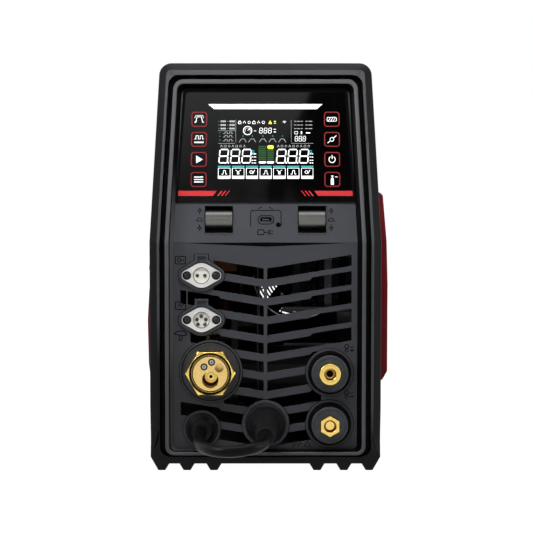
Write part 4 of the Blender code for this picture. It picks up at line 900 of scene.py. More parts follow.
def torch_socket():
    """Torch socket: ringed disc, brass collar, and the sleeves of its wire, gas and pin holes."""
    seat = seated(EURO)
    disc = [(0.0276, 0.0), (0.0276, 0.0024), (0.0270, 0.0030), (0.0264, 0.0030), (0.0263, 0.0026),
            (0.0257, 0.0026), (0.0256, 0.0030), (0.0205, 0.0030)]
    Shape().lathe(seat, disc, 160, 0.0001, tip=False).mesh(
        "torch_disc", turned_plastic("torch_plastic", (0.043, 0.0455, 0.0515), EURO), "insulator_black",
        "euro_insulator")
    corner = hexagon(0.0240)
    body = Shape().rings([polar(seat, radius, height) for radius, height in (
        (corner, 0.0033), (corner, 0.0152), (np.minimum(corner - 0.0002, 0.0233), 0.0156),
        (np.minimum(corner - 0.0009, 0.0222), 0.0159), (0.0200, 0.0159))])
    face = EURO_FACE_Y + SEAT_Y
    body.tube(seat, [(0.0206, 0.0156), (0.0206, face - 0.0003), (0.0203, face), (0.0180, face),
                     (0.01793, face - 0.0001), (0.01775, face - 0.0001), (0.0177, face),
                     (0.0165, face)], 160, 0.0)
    wire = seated(EURO, 0.0, -0.0059)
    body.tube(wire, [(0.0082, face), (0.0079, face + 0.0001), (0.0077, face - 0.0003)])
    nose = seated(EURO, 0.0, -0.0049)
    body.lathe(nose, [(0.0063, face - 0.0190), (0.0063, face - 0.0171), (0.0060, face - 0.0168),
                      (0.0044, face - 0.0168), (0.0043, face - 0.0169), (0.0041, face - 0.0169),
                      (0.0040, face - 0.0168), (0.0010, face - 0.0168)], 96, 0.0001, base=False)
    body.mesh("torch_collar", turned_metal("torch_brass", BRASS_COLOUR, EURO), "connector_brass", smooth=30.0)
    bore = Shape().tube(wire, [(0.0077, face - 0.0003), (0.0077, face - 0.0175),
                               (0.0060, face - 0.0180)], 96, 0.0)
    bore.mesh("torch_bore_wall", BORE_SHADE, "connector_brass")
    holes = Shape().lathe(nose, [(0.0016, face - 0.0170), (0.0016, face - 0.0166)], 32, 0.0)
    holes.lathe(seated(POSITIVE), [(0.0032, 0.0084), (0.0032, 0.0088)], 32, 0.0)
    holes.mesh("bore_shadows", SHADE_BLACK, "insulator_black")
    sleeves, cores = Shape(), Shape()
    for pin in ((-0.0059, 0.0067), (0.0013, 0.0111)):
        spot = seated(EURO, *pin)
        sleeves.tube(spot, [(0.0034, face), (0.0033, face + 0.0002), (0.0024, face + 0.0002),
                            (0.0023, face - 0.0010), (0.0023, face - 0.0070)], 48)
        cores.tube(spot, [(0.0021, face - 0.0070), (0.0021, face - 0.0003), (0.0018, face),
                          (0.0011, face), (0.0010, face - 0.0004), (0.0010, face - 0.0060)], 48)
    sleeves.mesh("torch_pin_sleeves", turned_plastic("sleeve_plastic", (0.010, 0.011, 0.020), EURO),
                 "insulator_black")
    cores.mesh("torch_pins", NICKEL, "nickel")
    # Lining of the gas hole in darker brown than the brass round it: painted shade.
    gas = Shape().tube(seated(EURO, 0.0085, 0.0053),
                       [(0.0043, face), (0.0042, face + 0.0001), (0.0037, face - 0.0004),
                        (0.0037, face - 0.0120)], 64)
    gas.mesh("torch_gas_seat", metal("gas_seat_shaded_brass", (0.420, 0.230, 0.090), 0.3), "connector_brass")


def insulator(name, at, bore):
    """Stepped round insulator of a terminal: a foot in near-black as painted shade, and a ringed face round
    its bore.
    """
    seat = seated(at)
    foot = [(0.0203, 0.0), (0.0203, 0.0064), (0.0196, 0.0072), (0.0160, 0.0072)]
    face = [(0.0176, 0.0060), (0.0176, 0.0112), (0.0170, 0.0120), (0.0152, 0.0120), (0.0151, 0.0116),
            (0.0145, 0.0116), (0.0144, 0.0120), (bore + 0.0002, 0.0120), (bore, 0.0116), (bore, 0.0040)]
    Shape().lathe(seat, foot, 128, tip=False).mesh(
        name + "_foot", SHADE_BLACK, "insulator_black", name + "_insulator")
    Shape().tube(seat, face, 160).mesh(
        name + "_shroud", turned_plastic(name + "_plastic", (0.050, 0.0535, 0.061), at), "insulator_black",
        name + "_insulator")


def terminals():
    """Round brass sleeve of one terminal, and the brass hexagon with a pin in it of the other."""
    insulator("positive", POSITIVE, 0.0104)
    insulator("negative", NEGATIVE, 0.0092)
    seat = seated(POSITIVE)
    sleeve = Shape().lathe(seat, [(0.0102, 0.0), (0.0102, 0.0146), (0.0098, 0.0150),
                                  (0.0061, 0.0150), (0.0058, 0.0147)], 128, tip=False)
    sleeve.mesh("positive_sleeve", turned_metal("positive_brass", BRASS_COLOUR, POSITIVE), "connector_brass",
                "positive_terminal", smooth=35.0)
    throat = Shape().lathe(seat, [(0.0058, 0.0147), (0.0055, 0.0100), (0.0048, 0.0088),
                                  (0.0034, 0.0084), (0.0032, 0.0080), (0.0032, -0.0130)], base=False)
    throat.mesh("positive_throat", BORE_SHADE, "connector_brass", "positive_terminal", smooth=35.0)
    seat = seated(NEGATIVE)
    key = hexagon(0.0103, math.pi / 6.0)
    hexed = Shape().rings([polar(seat, radius, height) for radius, height in (
        (np.minimum(key - 0.0001, 0.0090), 0.0), (key, 0.0100), (key, 0.0166), (key - 0.0003, 0.0170),
        (0.0062, 0.0170), (0.0060, 0.0168))], base=True)
    hexed.lathe(seat, [(0.0045, 0.0030), (0.0045, 0.0112), (0.0041, 0.0116)], 64, 0.0001)
    hexed.mesh("negative_hexagon", turned_metal("negative_brass", BRASS_COLOUR, NEGATIVE), "connector_brass",
               "negative_terminal", smooth=30.0)
    well = Shape().tube(seat, [(0.0060, 0.0168), (0.0060, 0.0042), (0.0040, 0.0040)], 64, 0.0)
    well.mesh("negative_well", BORE_SHADE, "connector_brass", "negative_terminal", smooth=30.0)


def thumb_roller(side, label):
    """Thumb roller: a smooth drum with eased ends on its thin axle."""
    profile = [(0.0015, 0.0), (0.0015, 0.0038), (0.0080, 0.0038), (0.0085, 0.0042), (0.0086, 0.0048),
               (0.0086, 0.0288), (0.0085, 0.0294), (0.0080, 0.0298), (0.0015, 0.0298), (0.0015, 0.0336)]
    drum = Shape().lathe((side * ROLLER_X - 0.0168, ROLLER_Y, ROLLER_Z), profile, 160, 0.0001, facing="right")
    drum.mesh("thumb_roller_" + label, ROLLER_METAL, "roller_metal", "roller_" + label,
              "roller_wheel_" + label, 50.0)


# ------------------------------------------------------------------ flat prints
class Print:
    """Flat print facing the viewer, in millimetres of X and Z round a point, at one depth."""

    def __init__(self, y):
        self.shape = Shape()
        self.y = y
        self.origin = (0.0, 0.0)

    def at(self, x, z):
        """Moves the point that all further coordinates start from."""
        self.origin = (x, z)
        return self

    def sheet(self, points, faces):
        """Points (x, z) and faces as part of the print."""
        x, z = ((np.asarray(points, float) + self.origin) / 1000.0).T
        self.shape.add(np.stack((x, np.full(len(x), self.y), z), 1), faces)

    def fill(self, outline):
        """Filled outline: a fan round its middle."""
        outline = np.asarray(outline, float)
        x, z = outline.T
        if (x * np.roll(z, -1) - np.roll(x, -1) * z).sum() < 0:
            outline = outline[::-1]
        count = len(outline)
        k = np.arange(count)
        middle = np.full(count, count)
        self.sheet(np.concatenate((outline, outline.mean(0)[None])),
                   np.stack((k, (k + 1) % count, middle, middle), 1))

    def bar(self, x0, z0, x1, z1, radius=0.0):
        """Filled rectangle between two corners."""
        self.fill(block(((x0 + x1) / 2.0, (z0 + z1) / 2.0), x1 - x0, z1 - z0, radius, 4))

    def bars(self, spans, z, half, radius):
        """Filled rectangles between pairs of x, each reaching half above and below z."""
        for x0, x1 in spans:
            self.bar(x0, z - half, x1, z + half, radius)

    def stroke(self, line, width, closed=False):
        """Ribbon along a line: each point moves to both sides along the mitre of its edges."""
        line = np.asarray(line, float)
        ahead = np.diff(np.concatenate((line, line[:1])) if closed else line, axis=0)
        ahead /= np.linalg.norm(ahead, axis=1, keepdims=True)
        left = np.stack((-ahead[:, 1], ahead[:, 0]), 1)
        if closed:
            before, after = np.roll(left, 1, 0), left
        else:
            before = np.concatenate((left[:1], left))
            after = np.concatenate((left, left[-1:]))
        mitre = (before + after) / np.maximum(1.0 + (before * after).sum(1, keepdims=True), 0.3)
        count = len(line)
        k = np.arange(count if closed else count - 1)
        after = (k + 1) % count
        self.sheet(np.concatenate((line - mitre * width / 2.0, line + mitre * width / 2.0)),
                   np.stack((k, after, after + count, k + count), 1))

    def box(self, x0, z0, x1, z1, width, radius=0.8):
        """Outline of a rounded rectangle between two corners."""
        self.stroke(block(((x0 + x1) / 2.0, (z0 + z1) / 2.0), x1 - x0, z1 - z0, radius, 5), width, True)

    def ring(self, x, z, radius, width, start=0.0, end=360.0):
        """Circle or arc, with its angles in degrees."""
        turn = np.radians(np.linspace(start, end, 33))
        line = np.stack((x + radius * np.cos(turn), z + radius * np.sin(turn)), 1)
        whole = end - start >= 360.0
        self.stroke(line[:-1] if whole else line, width, whole)

    def dot(self, x, z, radius):
        """Filled disc."""
        self.fill(circle(radius, 28, (x, z)))

    def digit(self, x0, z0, x1, z1, width=1.05, slope=0.09):
        """Seven lit segments of one digit, slanted a little."""
        middle, gap = (z0 + z1) / 2.0, width * 0.62

        def segment(xa, za, xb, zb):
            self.stroke([(xa + (za - z0) * slope, za), (xb + (zb - z0) * slope, zb)], width)

        for z in (z0, middle, z1):
            segment(x0 + gap, z, x1 - gap, z)
        for x in (x0, x1):
            for low, high in ((z0, middle), (middle, z1)):
                segment(x, low + gap, x, high - gap)

    def done(self, name, material, slot="screen_gloss", lean=True):
        """Makes the print's mesh."""
        self.shape.mesh(name, material, slot, smooth=0.0, lean=lean)


WHITE_INK = printed("ink_white", (0.860, 0.870, 0.870), 0.35)
RED_INK = printed("ink_red", (0.200, 0.016, 0.018), 0.0)
STRIPE_INK = printed("ink_stripe", (0.560, 0.034, 0.038), 0.0, 0.3)
LIT_WHITE = printed("segment_white", (0.860, 0.880, 0.880), 1.0)
LIT_GREY = printed("segment_grey", (0.300, 0.310, 0.310), 1.0)
LIT_TEAL = printed("segment_teal", (0.034, 0.250, 0.240), 0.7)
LIT_YELLOW = printed("segment_yellow", (0.740, 0.700, 0.050), 0.9)
LIT_GREEN = printed("segment_green", (0.020, 0.075, 0.022), 0.5)
# Near-black strokes lying flat on the panel for engraved marks: painted shade of the grooves.
GROOVE_SHADE = moulded("groove_shade_black", (0.0015, 0.0015, 0.0018), 0.5, specular=0.03)
INK_Y = GLASS_Y - 0.00008


def keys():
    """Red outlines of the eight touch keys and the white symbols in them."""
    red, white = Print(INK_Y), Print(INK_Y)
    for high, low in ((344.9, 329.9), (325.1, 310.4), (305.6, 290.9), (286.2, 271.5)):
        red.box(-71.8, low + 0.6, -57.4, high - 0.6, 1.1, 2.6)
        red.box(57.5, low + 0.6, 71.8, high - 0.6, 1.1, 2.6)
    left, right = -64.6, 64.6
    rows = (337.4, 317.7, 298.2, 278.8)
    white.at(left, rows[0])
    white.stroke([(-4.6, -2.8), (-3.2, -2.8), (-2.2, 2.4), (2.2, 2.4), (3.2, -2.8), (4.6, -2.8)], 0.6)
    white.stroke([(-4.4, 1.2), (-3.4, 3.8), (3.4, 3.8), (4.4, 1.2)], 0.45)
    white.at(left, rows[1])
    white.stroke([(-4.6, 0.4), (-3.0, 0.4), (-3.0, 3.6), (-0.6, 3.6), (-0.6, 0.4), (1.2, 0.4), (1.2, 3.6),
                  (3.4, 3.6), (3.4, 0.4), (4.6, 0.4)], 0.55)
    white.bars([(x, x + 1.2) for x in (-4.4, -2.5, -0.6, 1.3, 3.2)], -2.8, 0.8, 0.3)
    white.at(left, rows[2]).fill([(-2.6, -3.8), (3.8, 0.0), (-2.6, 3.8)])
    for z in (-2.4, 0.0, 2.4):
        white.at(left, rows[3] + z).bar(-4.4, -0.5, 4.4, 0.5, 0.4)
    white.at(right, rows[0]).box(-4.6, -1.9, 4.6, 1.9, 0.55, 1.0)
    for x in (-3.2, -0.8, 1.6):
        white.stroke([(x, -1.5), (x + 1.8, 1.5)], 0.5)
    white.at(right, rows[1]).ring(0.0, 0.0, 1.8, 0.65)
    white.stroke([(-4.4, -3.6), (-1.2, -1.1)], 0.7)
    white.stroke([(1.4, 1.3), (4.4, 3.8)], 0.7)
    white.at(right, rows[2]).ring(0.0, 0.0, 3.0, 0.7, 120.0, 420.0)
    white.bar(-0.4, 0.6, 0.4, 4.2, 0.2)
    white.at(right, rows[3])
    white.fill(rounded([(1.5, -5.2, 0.6), (1.5, 1.6, 1.2), (-1.5, 1.6, 1.2), (-1.5, -5.2, 0.6)], 4))
    white.bar(-0.5, 1.8, 0.5, 3.0)
    white.bar(-1.2, 3.1, 1.2, 3.8, 0.2)
    white.bar(2.6, 2.2, 5.2, 2.8, 0.2)
    red.done("key_outlines", RED_INK)
    white.done("key_symbols", WHITE_INK)


def overlay_stripes():
    """White light bar at the top and the two red stripes with slanted ends below."""
    bar, stripe = Print(INK_Y), Print(INK_Y)
    bar.fill([(-50.0, 347.5), (50.2, 347.5), (55.6, 352.3), (-56.0, 352.3)])
    bar.done("light_bar", LIT_WHITE)
    low, high = 263.0, 267.9
    for side in (-1.0, 1.0):
        stripe.fill([(85.0 * side, low), (85.0 * side, high), (47.0 * side, high), (50.8 * side, low)])
        for x, wide in ((45.0, 1.7), (41.6, 1.35), (38.2, 1.0)):
            stripe.fill([(x * side, low), ((x - 3.8) * side, high), ((x - 3.8 + wide) * side, high),
                         ((x + wide) * side, low)])
    stripe.done("overlay_stripes", STRIPE_INK)


def screen_tiles(white, teal):
    """Seven tiles at the foot of the display, each with a small symbol of one of three kinds."""
    tiles = ((-46.0, -33.9), (-32.4, -20.4), (-18.9, -7.2), (-5.6, 6.0), (7.4, 19.5), (21.1, 32.8),
             (34.5, 46.3))
    for (x0, x1), kind in zip(tiles, "pulse lamp arc pulse lamp pulse arc".split()):
        half = (x1 - x0) / 2.0
        teal.bar(x0, 290.7, x1, 292.1)
        white.at((x0 + x1) / 2.0, 280.0)
        white.box(0.3 - half, -0.3, half - 0.3, 9.8, 0.42, 0.4)
        white.bar(0.5 - half, 0.0, half - 0.5, 2.3, 0.2)
        if kind == "pulse":
            white.stroke([(-2.6, 4.0), (-1.2, 4.0), (-0.4, 7.6), (1.0, 7.6), (1.6, 4.0), (2.8, 4.0)], 0.45)
        elif kind == "lamp":
            white.bar(-1.0, 3.8, 1.0, 6.0, 0.3)
            white.stroke([(-2.6, 8.0), (0.0, 6.2), (2.6, 8.0)], 0.45)
        else:
            white.ring(-0.8, 6.0, 1.3, 0.45)
            white.stroke([(0.6, 4.2), (2.6, 8.0)], 0.45)
    white.at(0.0, 0.0)


def screen_legends(faint, teal):
    """Faint rules and rows of small legends at both sides of the display, with their teal marks."""
    for line in ([(-28.9, 315.0), (-28.9, 336.8)], [(25.1, 315.0), (25.1, 336.8)],
                 [(-45.9, 326.2), (-28.9, 326.2)], [(-45.9, 313.8), (-29.8, 313.8)],
                 [(25.1, 313.8), (46.4, 313.8)]):
        faint.stroke(line, 0.22)
    for z in (335.4, 331.8, 328.3):
        for x in (-43.6, -35.0):
            faint.bars([(x + step, x + step + 1.4) for step in (0.0, 1.75, 3.5)], z, 0.85, 0.3)
            teal.bars([(x - 2.2, x - 1.4)], z, 0.35, 0.0)
        faint.bars(((28.0, 30.2), (30.8, 33.6), (34.2, 36.4), (38.8, 41.2), (41.9, 45.6)), z, 0.28, 0.2)
    for z in (323.4, 320.0, 316.2):
        faint.at(-41.4, z).stroke([(0.0, 0.0), (2.0, 0.0), (2.0, 1.6), (4.2, 1.6), (4.2, 0.0), (6.4, 0.0),
                                   (6.4, 1.6), (8.6, 1.6), (8.6, 0.0), (10.0, 0.0)], 0.3)
        teal.bar(-44.8, z + 0.4, -44.0, z + 1.1)
    for x in (-25.6, -16.4, -6.0, 3.4, 12.8):
        faint.at(x, 315.0).stroke([(0.0, 0.0), (2.2, 3.2), (5.0, 3.2), (7.0, 0.0)], 0.38)
        teal.fill([(x + 3.1, 320.6), (x + 4.3, 320.6), (x + 3.7, 321.9)])
    for start, count in ((-43.8, 7), (11.4, 9)):
        for k in range(count):
            faint.at(start + 3.7 * k, 310.2)
            if k % 3 == 0:
                faint.stroke([(0.0, 0.0), (1.0, 2.0), (2.0, 0.0)], 0.35)
            elif k % 3 == 1:
                faint.box(0.0, 0.0, 2.0, 1.8, 0.3, 0.3)
            else:
                faint.ring(1.1, 1.0, 0.9, 0.3)


def screen():
    """Segments of the lit display: digits, gauge, rows of small symbols and seven tiles."""
    white, faint, teal, yellow, green = (Print(INK_Y) for _ in range(5))
    for x0, x1 in ((-45.2, -37.0), (-34.0, -26.0), (-23.0, -14.8), (10.6, 18.8), (21.6, 29.8),
                   (32.7, 40.9)):
        white.digit(x0, 294.9, x1, 307.9)
    for x in (-35.9, -25.1, 20.2, 31.0):
        white.dot(x, 295.0, 0.75)
    for z in (303.6, 300.6, 297.4, 294.8):
        white.bars(((-13.4, -11.8), (-11.3, -9.0), (42.8, 44.2), (44.7, 46.2)), z, 0.32, 0.1)
    for z in (304.9, 306.6):
        teal.bars(((-12.9, -10.6), (43.0, 45.2)), z, 0.4, 0.0)
    screen_tiles(white, teal)
    screen_legends(faint, teal)
    for x in (-26.4, -12.6):
        white.at(x, 333.0).box(0.0, 0.0, 2.6, 2.0, 0.35, 0.4)
        white.ring(1.3, 2.2, 0.8, 0.3, 0.0, 180.0)
        white.stroke([(4.6, 0.4), (5.9, 2.8), (7.2, 0.4)], 0.35)
        white.ring(10.5, 1.4, 1.2, 0.35)
    white.at(0.0, 0.0)
    yellow.fill([(2.8, 332.8), (6.4, 332.8), (4.6, 336.4)])
    yellow.bars([(8.2, 10.2)], 333.6, 0.4, 0.0)
    yellow.bars([(8.2, 10.2)], 335.4, 0.4, 0.0)
    for radius in (0.7, 1.5, 2.3):
        white.ring(18.6, 333.4, radius, 0.3, 45.0, 135.0)
    white.ring(-17.4, 326.4, 4.1, 0.6)
    white.ring(-17.4, 326.4, 2.6, 0.3, -30.0, 210.0)
    white.stroke([(-17.4, 326.4), (-14.9, 328.6)], 0.45)
    for x0, z in ((-11.2, 326.0), (8.0, 327.6), (8.0, 325.0)):
        white.bars([(x0, x0 + 2.2)], z, 0.3, 0.1)
    for x in (-6.0, -1.6, 2.8):
        white.digit(x, 323.9, x + 2.8, 328.8, 0.42)
    for x in (28.6, 32.4, 36.2):
        white.digit(x, 316.0, x + 2.5, 320.8, 0.38)
    white.box(28.4, 323.0, 31.4, 325.4, 0.35, 0.4)
    white.bar(34.4, 323.0, 35.6, 325.6, 0.2)
    white.bar(39.4, 323.6, 43.6, 324.6, 0.4)
    yellow.bar(1.8, 308.4, 8.0, 311.9, 1.6)
    for k in range(8):
        green.bar(-6.8, 297.8 + 1.75 * k, 0.8, 298.9 + 1.75 * k, 0.2)
    for k in range(6):
        green.bar(1.8, 297.8 + 1.75 * k, 8.0, 298.9 + 1.75 * k, 0.2)
    white.bars(((-6.4, 0.4), (1.4, 8.2)), 295.4, 1.0, 0.8)
    for ink, name, material in ((white, "segments", LIT_WHITE), (faint, "legends", LIT_GREY),
                                (teal, "marks", LIT_TEAL), (yellow, "signals", LIT_YELLOW),
                                (green, "columns", LIT_GREEN)):
        ink.done("screen_" + name, material)


def panel_marks():
    """Marks on the front panel, drawn flat in near-black as painted shade of engraved grooves: arrows, socket
    frame, generic symbols, and a painted shadow along the crease.
    """
    upper, lower = Print(PANEL_Y - 0.00006), Print(PANEL_Y - 0.00006)
    for x in (-63.3, 63.3):
        for way in (1.0, -1.0):
            upper.at(x, 240.6 + 8.2 * way)
            upper.stroke([(-1.7, -0.4 * way), (0.0, 2.4 * way), (1.7, -0.4 * way)], 0.7, True)
            upper.stroke([(0.0, -0.4 * way), (0.0, -3.2 * way)], 0.8)
        upper.at(x, 239.2).ring(0.0, 0.0, 2.6, 0.7, 0.0, 180.0)
        upper.stroke([(-3.3, -0.3), (3.3, -0.3)], 0.75)
    upper.at(0.0, 0.0)
    upper.dot(12.4, 235.3, 2.3)
    upper.box(-7.4, 225.9, -1.4, 230.5, 0.85, 0.9)
    for line, width in (
            ([(-14.2, 234.0), (-14.2, 247.6), (-12.6, 249.1), (13.4, 249.1), (15.0, 247.6),
              (15.0, 233.8)], 0.75),
            ([(-7.4, 250.2), (-3.4, 252.6)], 0.75), ([(3.2, 252.6), (7.2, 250.2)], 0.75),
            ([(-1.4, 228.2), (3.4, 228.2)], 0.85), ([(3.4, 225.6), (3.4, 230.8)], 0.9),
            ([(3.4, 226.9), (7.4, 226.9)], 0.75), ([(3.4, 229.5), (7.4, 229.5)], 0.75)):
        upper.stroke(line, width)
    upper.done("panel_marks_upper", GROOVE_SHADE, "panel_plastic")
    # Dark wedge along the crease where the leaning panel meets the upright one: a painted shadow.
    lower.fill([(-78.0, 217.9), (0.4, 214.5), (78.1, 217.9), (0.4, 218.5)])
    lower.at(-81.6, 201.5).box(-4.8, -3.6, 4.8, 3.6, 0.8, 0.8)
    lower.ring(-1.4, 0.0, 1.6, 0.7)
    lower.stroke([(0.4, 0.0), (3.6, 0.0)], 0.8)
    lower.at(-81.6, 157.7).box(-4.8, -3.6, 4.8, 3.6, 0.8, 0.8)
    lower.stroke([(-3.0, -1.6), (-1.2, 1.4), (0.8, -1.0), (3.0, 1.8)], 0.75)
    lower.at(0.0, 0.0)
    lower.stroke([(-88.2, 130.6), (-84.0, 133.0), (-78.4, 133.0), (-76.2, 131.4), (-76.2, 129.2),
                  (-81.0, 128.6), (-84.6, 129.6)], 0.9, True)
    lower.stroke([(-82.6, 128.8), (-83.4, 124.6), (-80.8, 124.2), (-80.0, 128.6)], 0.8)
    for z in (116.6, 72.0):
        lower.at(78.2, z).ring(0.0, 1.6, 1.9, 0.75)
        lower.ring(0.0, -2.2, 1.5, 0.7)
        lower.stroke([(3.2, -2.2), (7.4, -2.2)], 0.8)
        lower.stroke([(3.2, 0.6), (6.6, 1.4)], 0.7)
    lower.at(83.4, 116.6).stroke([(0.0, -3.8), (0.0, -0.6)], 0.7)
    for k in range(4):
        for row in range(k % 2, 3, 2):
            lower.at(26.4 + 2.2 * k, 21.2 + 2.0 * row).bar(0.0, 0.0, 1.8, 1.6)
    lower.at(0.0, 0.0).stroke([(37.6, 21.2), (40.6, 26.6), (43.6, 21.2)], 0.7, True)
    lower.done("panel_marks_lower", GROOVE_SHADE, "panel_plastic", False)


def window_lips():
    """Eased lips of the roller windows and of the service socket's hole, and what is in that hole."""
    lips = Shape()
    window = ((-0.0006, 0.0), (-0.0006, 0.0003), (-0.0004, 0.0005), (0.0001, 0.0005), (0.0004, 0.0002),
              (0.0004, -0.0025))
    socket = ((-0.0004, 0.0), (-0.0004, 0.0003), (-0.0001, 0.0004), (0.0005, 0.0004), (0.0009, 0.0),
              (0.0009, -0.0030))
    hole = block(USB, 0.0137, 0.0068, 0.0033, 10)
    for outline, edge in ((block((-ROLLER_X, ROLLER_Z), 0.0280, 0.0266, 0.0012), window),
                          (block((ROLLER_X, ROLLER_Z), 0.0280, 0.0266, 0.0012), window), (hole, socket)):
        lips.rings(stacked([(outline, move, height) for move, height in edge], PANEL_Y))
    lips.mesh("window_lips", PANEL, "panel_plastic", smooth=30.0, lean=True)
    dark = Shape().rings(stacked([(hole, 0.0008, 0.0002), (hole, 0.0009, -0.0040), (hole, 0.0026, -0.0042)],
                                 PANEL_Y), tip=True)
    dark.rings(stacked([(hole, -0.0011, 0.0001), (hole, -0.0004, 0.0001)], PANEL_Y))
    dark.mesh("service_shadow", SHADE_BLACK, "panel_plastic", smooth=30.0, lean=True)
    tongue = Shape()
    for drop, size, steps in (
            (0.0, (0.0070, 0.0011, 0.0003), [(0.0, 0.0), (0.0, 0.0048), (0.0002, 0.0050)]),
            (0.0019, (0.0080, 0.0005, 0.0002), [(0.0, 0.0), (0.0, 0.0052), (0.0001, 0.0053)])):
        tongue.slab((USB[0], PANEL_Y + 0.0060, USB[1] - drop), block((0.0, 0.0), *size), steps)
    tongue.mesh("service_tongue", FRAME, "insulator_black", smooth=30.0, lean=True)


grommet()
hoop("front", FRONT_Y)
hoop("rear", REAR_Y)
inner_frame()
panel_seats()
overlay_margin()
round_socket("trigger", TRIGGER, ((-0.0039, 0.0), (0.0034, 0.0)), math.pi / 2.0)
round_socket("control", CONTROL, ((-0.0003, 0.0036), (-0.0043, 0.0006), (0.0041, 0.0008), (-0.0034, -0.0041),
                                  (0.0033, -0.0043)), -math.pi / 2.0)
torch_socket()
terminals()
thumb_roller(-1, "left")
thumb_roller(1, "right")
keys()
overlay_stripes()
screen()
panel_marks()
window_lips()


# ------------------------------------------------------------------ sides and back
def fan_grille():
    """Wire guard over the fan: concentric rings, each a small bent rod, and eight flat spokes."""
    x, z = FAN
    inner_end, outer_end, half_wide = 0.0115, 0.0565, 0.0011
    centre = (x, REAR_PANEL_Y + GAP, z)
    shape = Shape()
    for radius in np.linspace(0.0160, 0.0541, 10):
        shape.rings([polar(centre, radius + across, 0.0014 + out, facing="rear")
                     for across, out in (circle(1.0, 10) * (0.0012, 0.0010))[::-1]], loop=True)
    shape.lathe(centre, [(0.0125, 0.0), (0.0125, 0.0018), (0.0115, 0.0025)], 64, 0.0003, facing="rear")
    shape.tube(centre, [(0.0590, 0.0), (0.0590, 0.0018), (0.0583, 0.0025), (0.0558, 0.0025),
                        (0.0551, 0.0018), (0.0551, 0.0)], 128, 0.0002, facing="rear")
    for angle in np.arange(8) * math.pi / 4.0 + math.pi / 8.0:
        along = np.array((math.cos(angle), math.sin(angle)))
        across = np.array((-along[1], along[0])) * half_wide
        spoke = [along * inner_end - across, along * outer_end - across, along * outer_end + across,
                 along * inner_end + across]
        shape.slab(centre, np.array(spoke), [(0.0, 0.0002), (0.0, 0.0018), (0.0003, 0.0021)], "rear")
    shape.mesh("fan_grille", SHEET, "case_sheet", "fan_guard")
    screws = Shape()
    for dx in (-0.0520, 0.0520):
        for dz in (-0.0520, 0.0520):
            screw(screws, (x + dx, REAR_PANEL_Y + 0.0002, z + dz), 0.0034, 0.0018, "rear")
    screws.mesh("fan_screws", STEEL, "zinc_steel")


def case_screws():
    """Button screws along the edges of the rear panel, the sides and the top cover."""
    rear, side = Shape(), Shape()
    side_x, off = 0.1065, 0.0002
    for half, z in ((0.0920, 0.0240), (0.0920, 0.2060), (0.0860, 0.3600)):
        for x in (-half, half):
            screw(rear, (x, REAR_PANEL_Y + off, z), 0.0032, 0.0016, "rear")
    rear.mesh("rear_screws", STEEL, "zinc_steel", lean=True)
    for y in (-0.1600, 0.0, 0.1600):
        screw(side, (side_x + off - TAPER * 0.0910, y * 0.86, 0.3100), 0.0034, 0.0017, "right")
        screw(side, (side_x + off, y, 0.0300), 0.0034, 0.0017, "right")
        screw(side, (TAPER * 0.1130 - side_x - off, y * 0.86, 0.3320), 0.0030, 0.0014, "left")
    for x in (-0.0800, 0.0800):
        for y in (-0.1250, 0.1450):
            screw(side, (x, y, COVER_TOP + off), 0.0034, 0.0017, "up")
    side.mesh("side_screws", STEEL, "zinc_steel")


def rocker_marks():
    """White bar and ring on the two halves of the mains rocker, laid on its faces."""
    marks = Print(0.0)
    marks.bar(-0.5, -6.0, 0.5, -2.6, 0.2)
    marks.ring(0.0, 4.4, 1.7, 0.7)
    tilt = math.radians(10.0) + math.atan(LEAN_REAR)
    shape = marks.shape
    for index, points in enumerate(shape.points):
        x, z = -points[:, 0], points[:, 2]
        y = 0.0022 + 0.0010 * np.abs(z) / 0.0075 + 0.00008
        shape.points[index] = np.stack((
            x + SWITCH[0],
            y * math.cos(tilt) - z * math.sin(tilt) + REAR_PANEL_Y - (SWITCH[1] - LEAN_Z) * LEAN_REAR,
            y * math.sin(tilt) + z * math.cos(tilt) + SWITCH[1]), 1)
    shape.mesh("rocker_marks", WHITE_INK, "insulator_black", body="rocker", smooth=0.0)


fan_grille()
case_screws()
rocker_marks()


# ------------------------------------------------------------------ studio
WORLD_LIGHT = 0.06
KEY_POWER = 2.5
LEFT_POWER = 6.2
RIGHT_POWER = 4.2
REAR_POWER = 20.0
SKY_POWER = 1.1
SKY_ANGLE = 50.0               # how wide the sky's light is, in degrees
FLOOR_GLOW = 1.36


def rays(tree):
    """Signals that are one for camera, mirror and glass rays."""
    path = tree.nodes.new("ShaderNodeLightPath")
    return [Signal(tree, path.outputs["Is %s Ray" % kind]) for kind in ("Camera", "Glossy", "Transmission")]


def floor_finish():
    """Pale floor that keeps a faint shadow: diffuse white mixed with a plain white to the camera."""
    made = Finish("floor_white", (0.800, 0.800, 0.800), 0.9)
    seen, glossy, glass = rays(made.tree)
    plain = made.node("ShaderNodeEmission", None, {"Color": (1.0, 1.0, 1.0), "Strength": FLOOR_GLOW})
    diffuse = made.node("ShaderNodeBsdfDiffuse", None, {"Color": (0.46, 0.46, 0.46)})
    mix = made.node("ShaderNodeMixShader", None,
                    {"Fac": seen * 0.73 + glossy * 0.50 + glass * 0.73, 1: diffuse, 2: plain})
    feed(made.tree, made.tree.nodes["Material Output"].inputs["Surface"], mix)
    return made.material


def flag_finish(name, low, high, bright, dim):
    """Studio card seen by reflections only: its light goes from bright at low to dim at high."""
    made = Finish(name, (0.0, 0.0, 0.0), 1.0)
    height = made.node("ShaderNodeSeparateXYZ", None, {"Vector": made.place()}, output=2)
    fall = made.node("ShaderNodeMapRange", {"interpolation_type": "SMOOTHSTEP"},
                     {"Value": height, "From Min": low, "From Max": high, "To Min": bright, "To Max": dim})
    glow = made.node("ShaderNodeEmission", None, {"Color": (1.0, 1.0, 1.0), "Strength": fall})
    feed(made.tree, made.tree.nodes["Material Output"].inputs["Surface"], glow)
    return made.material


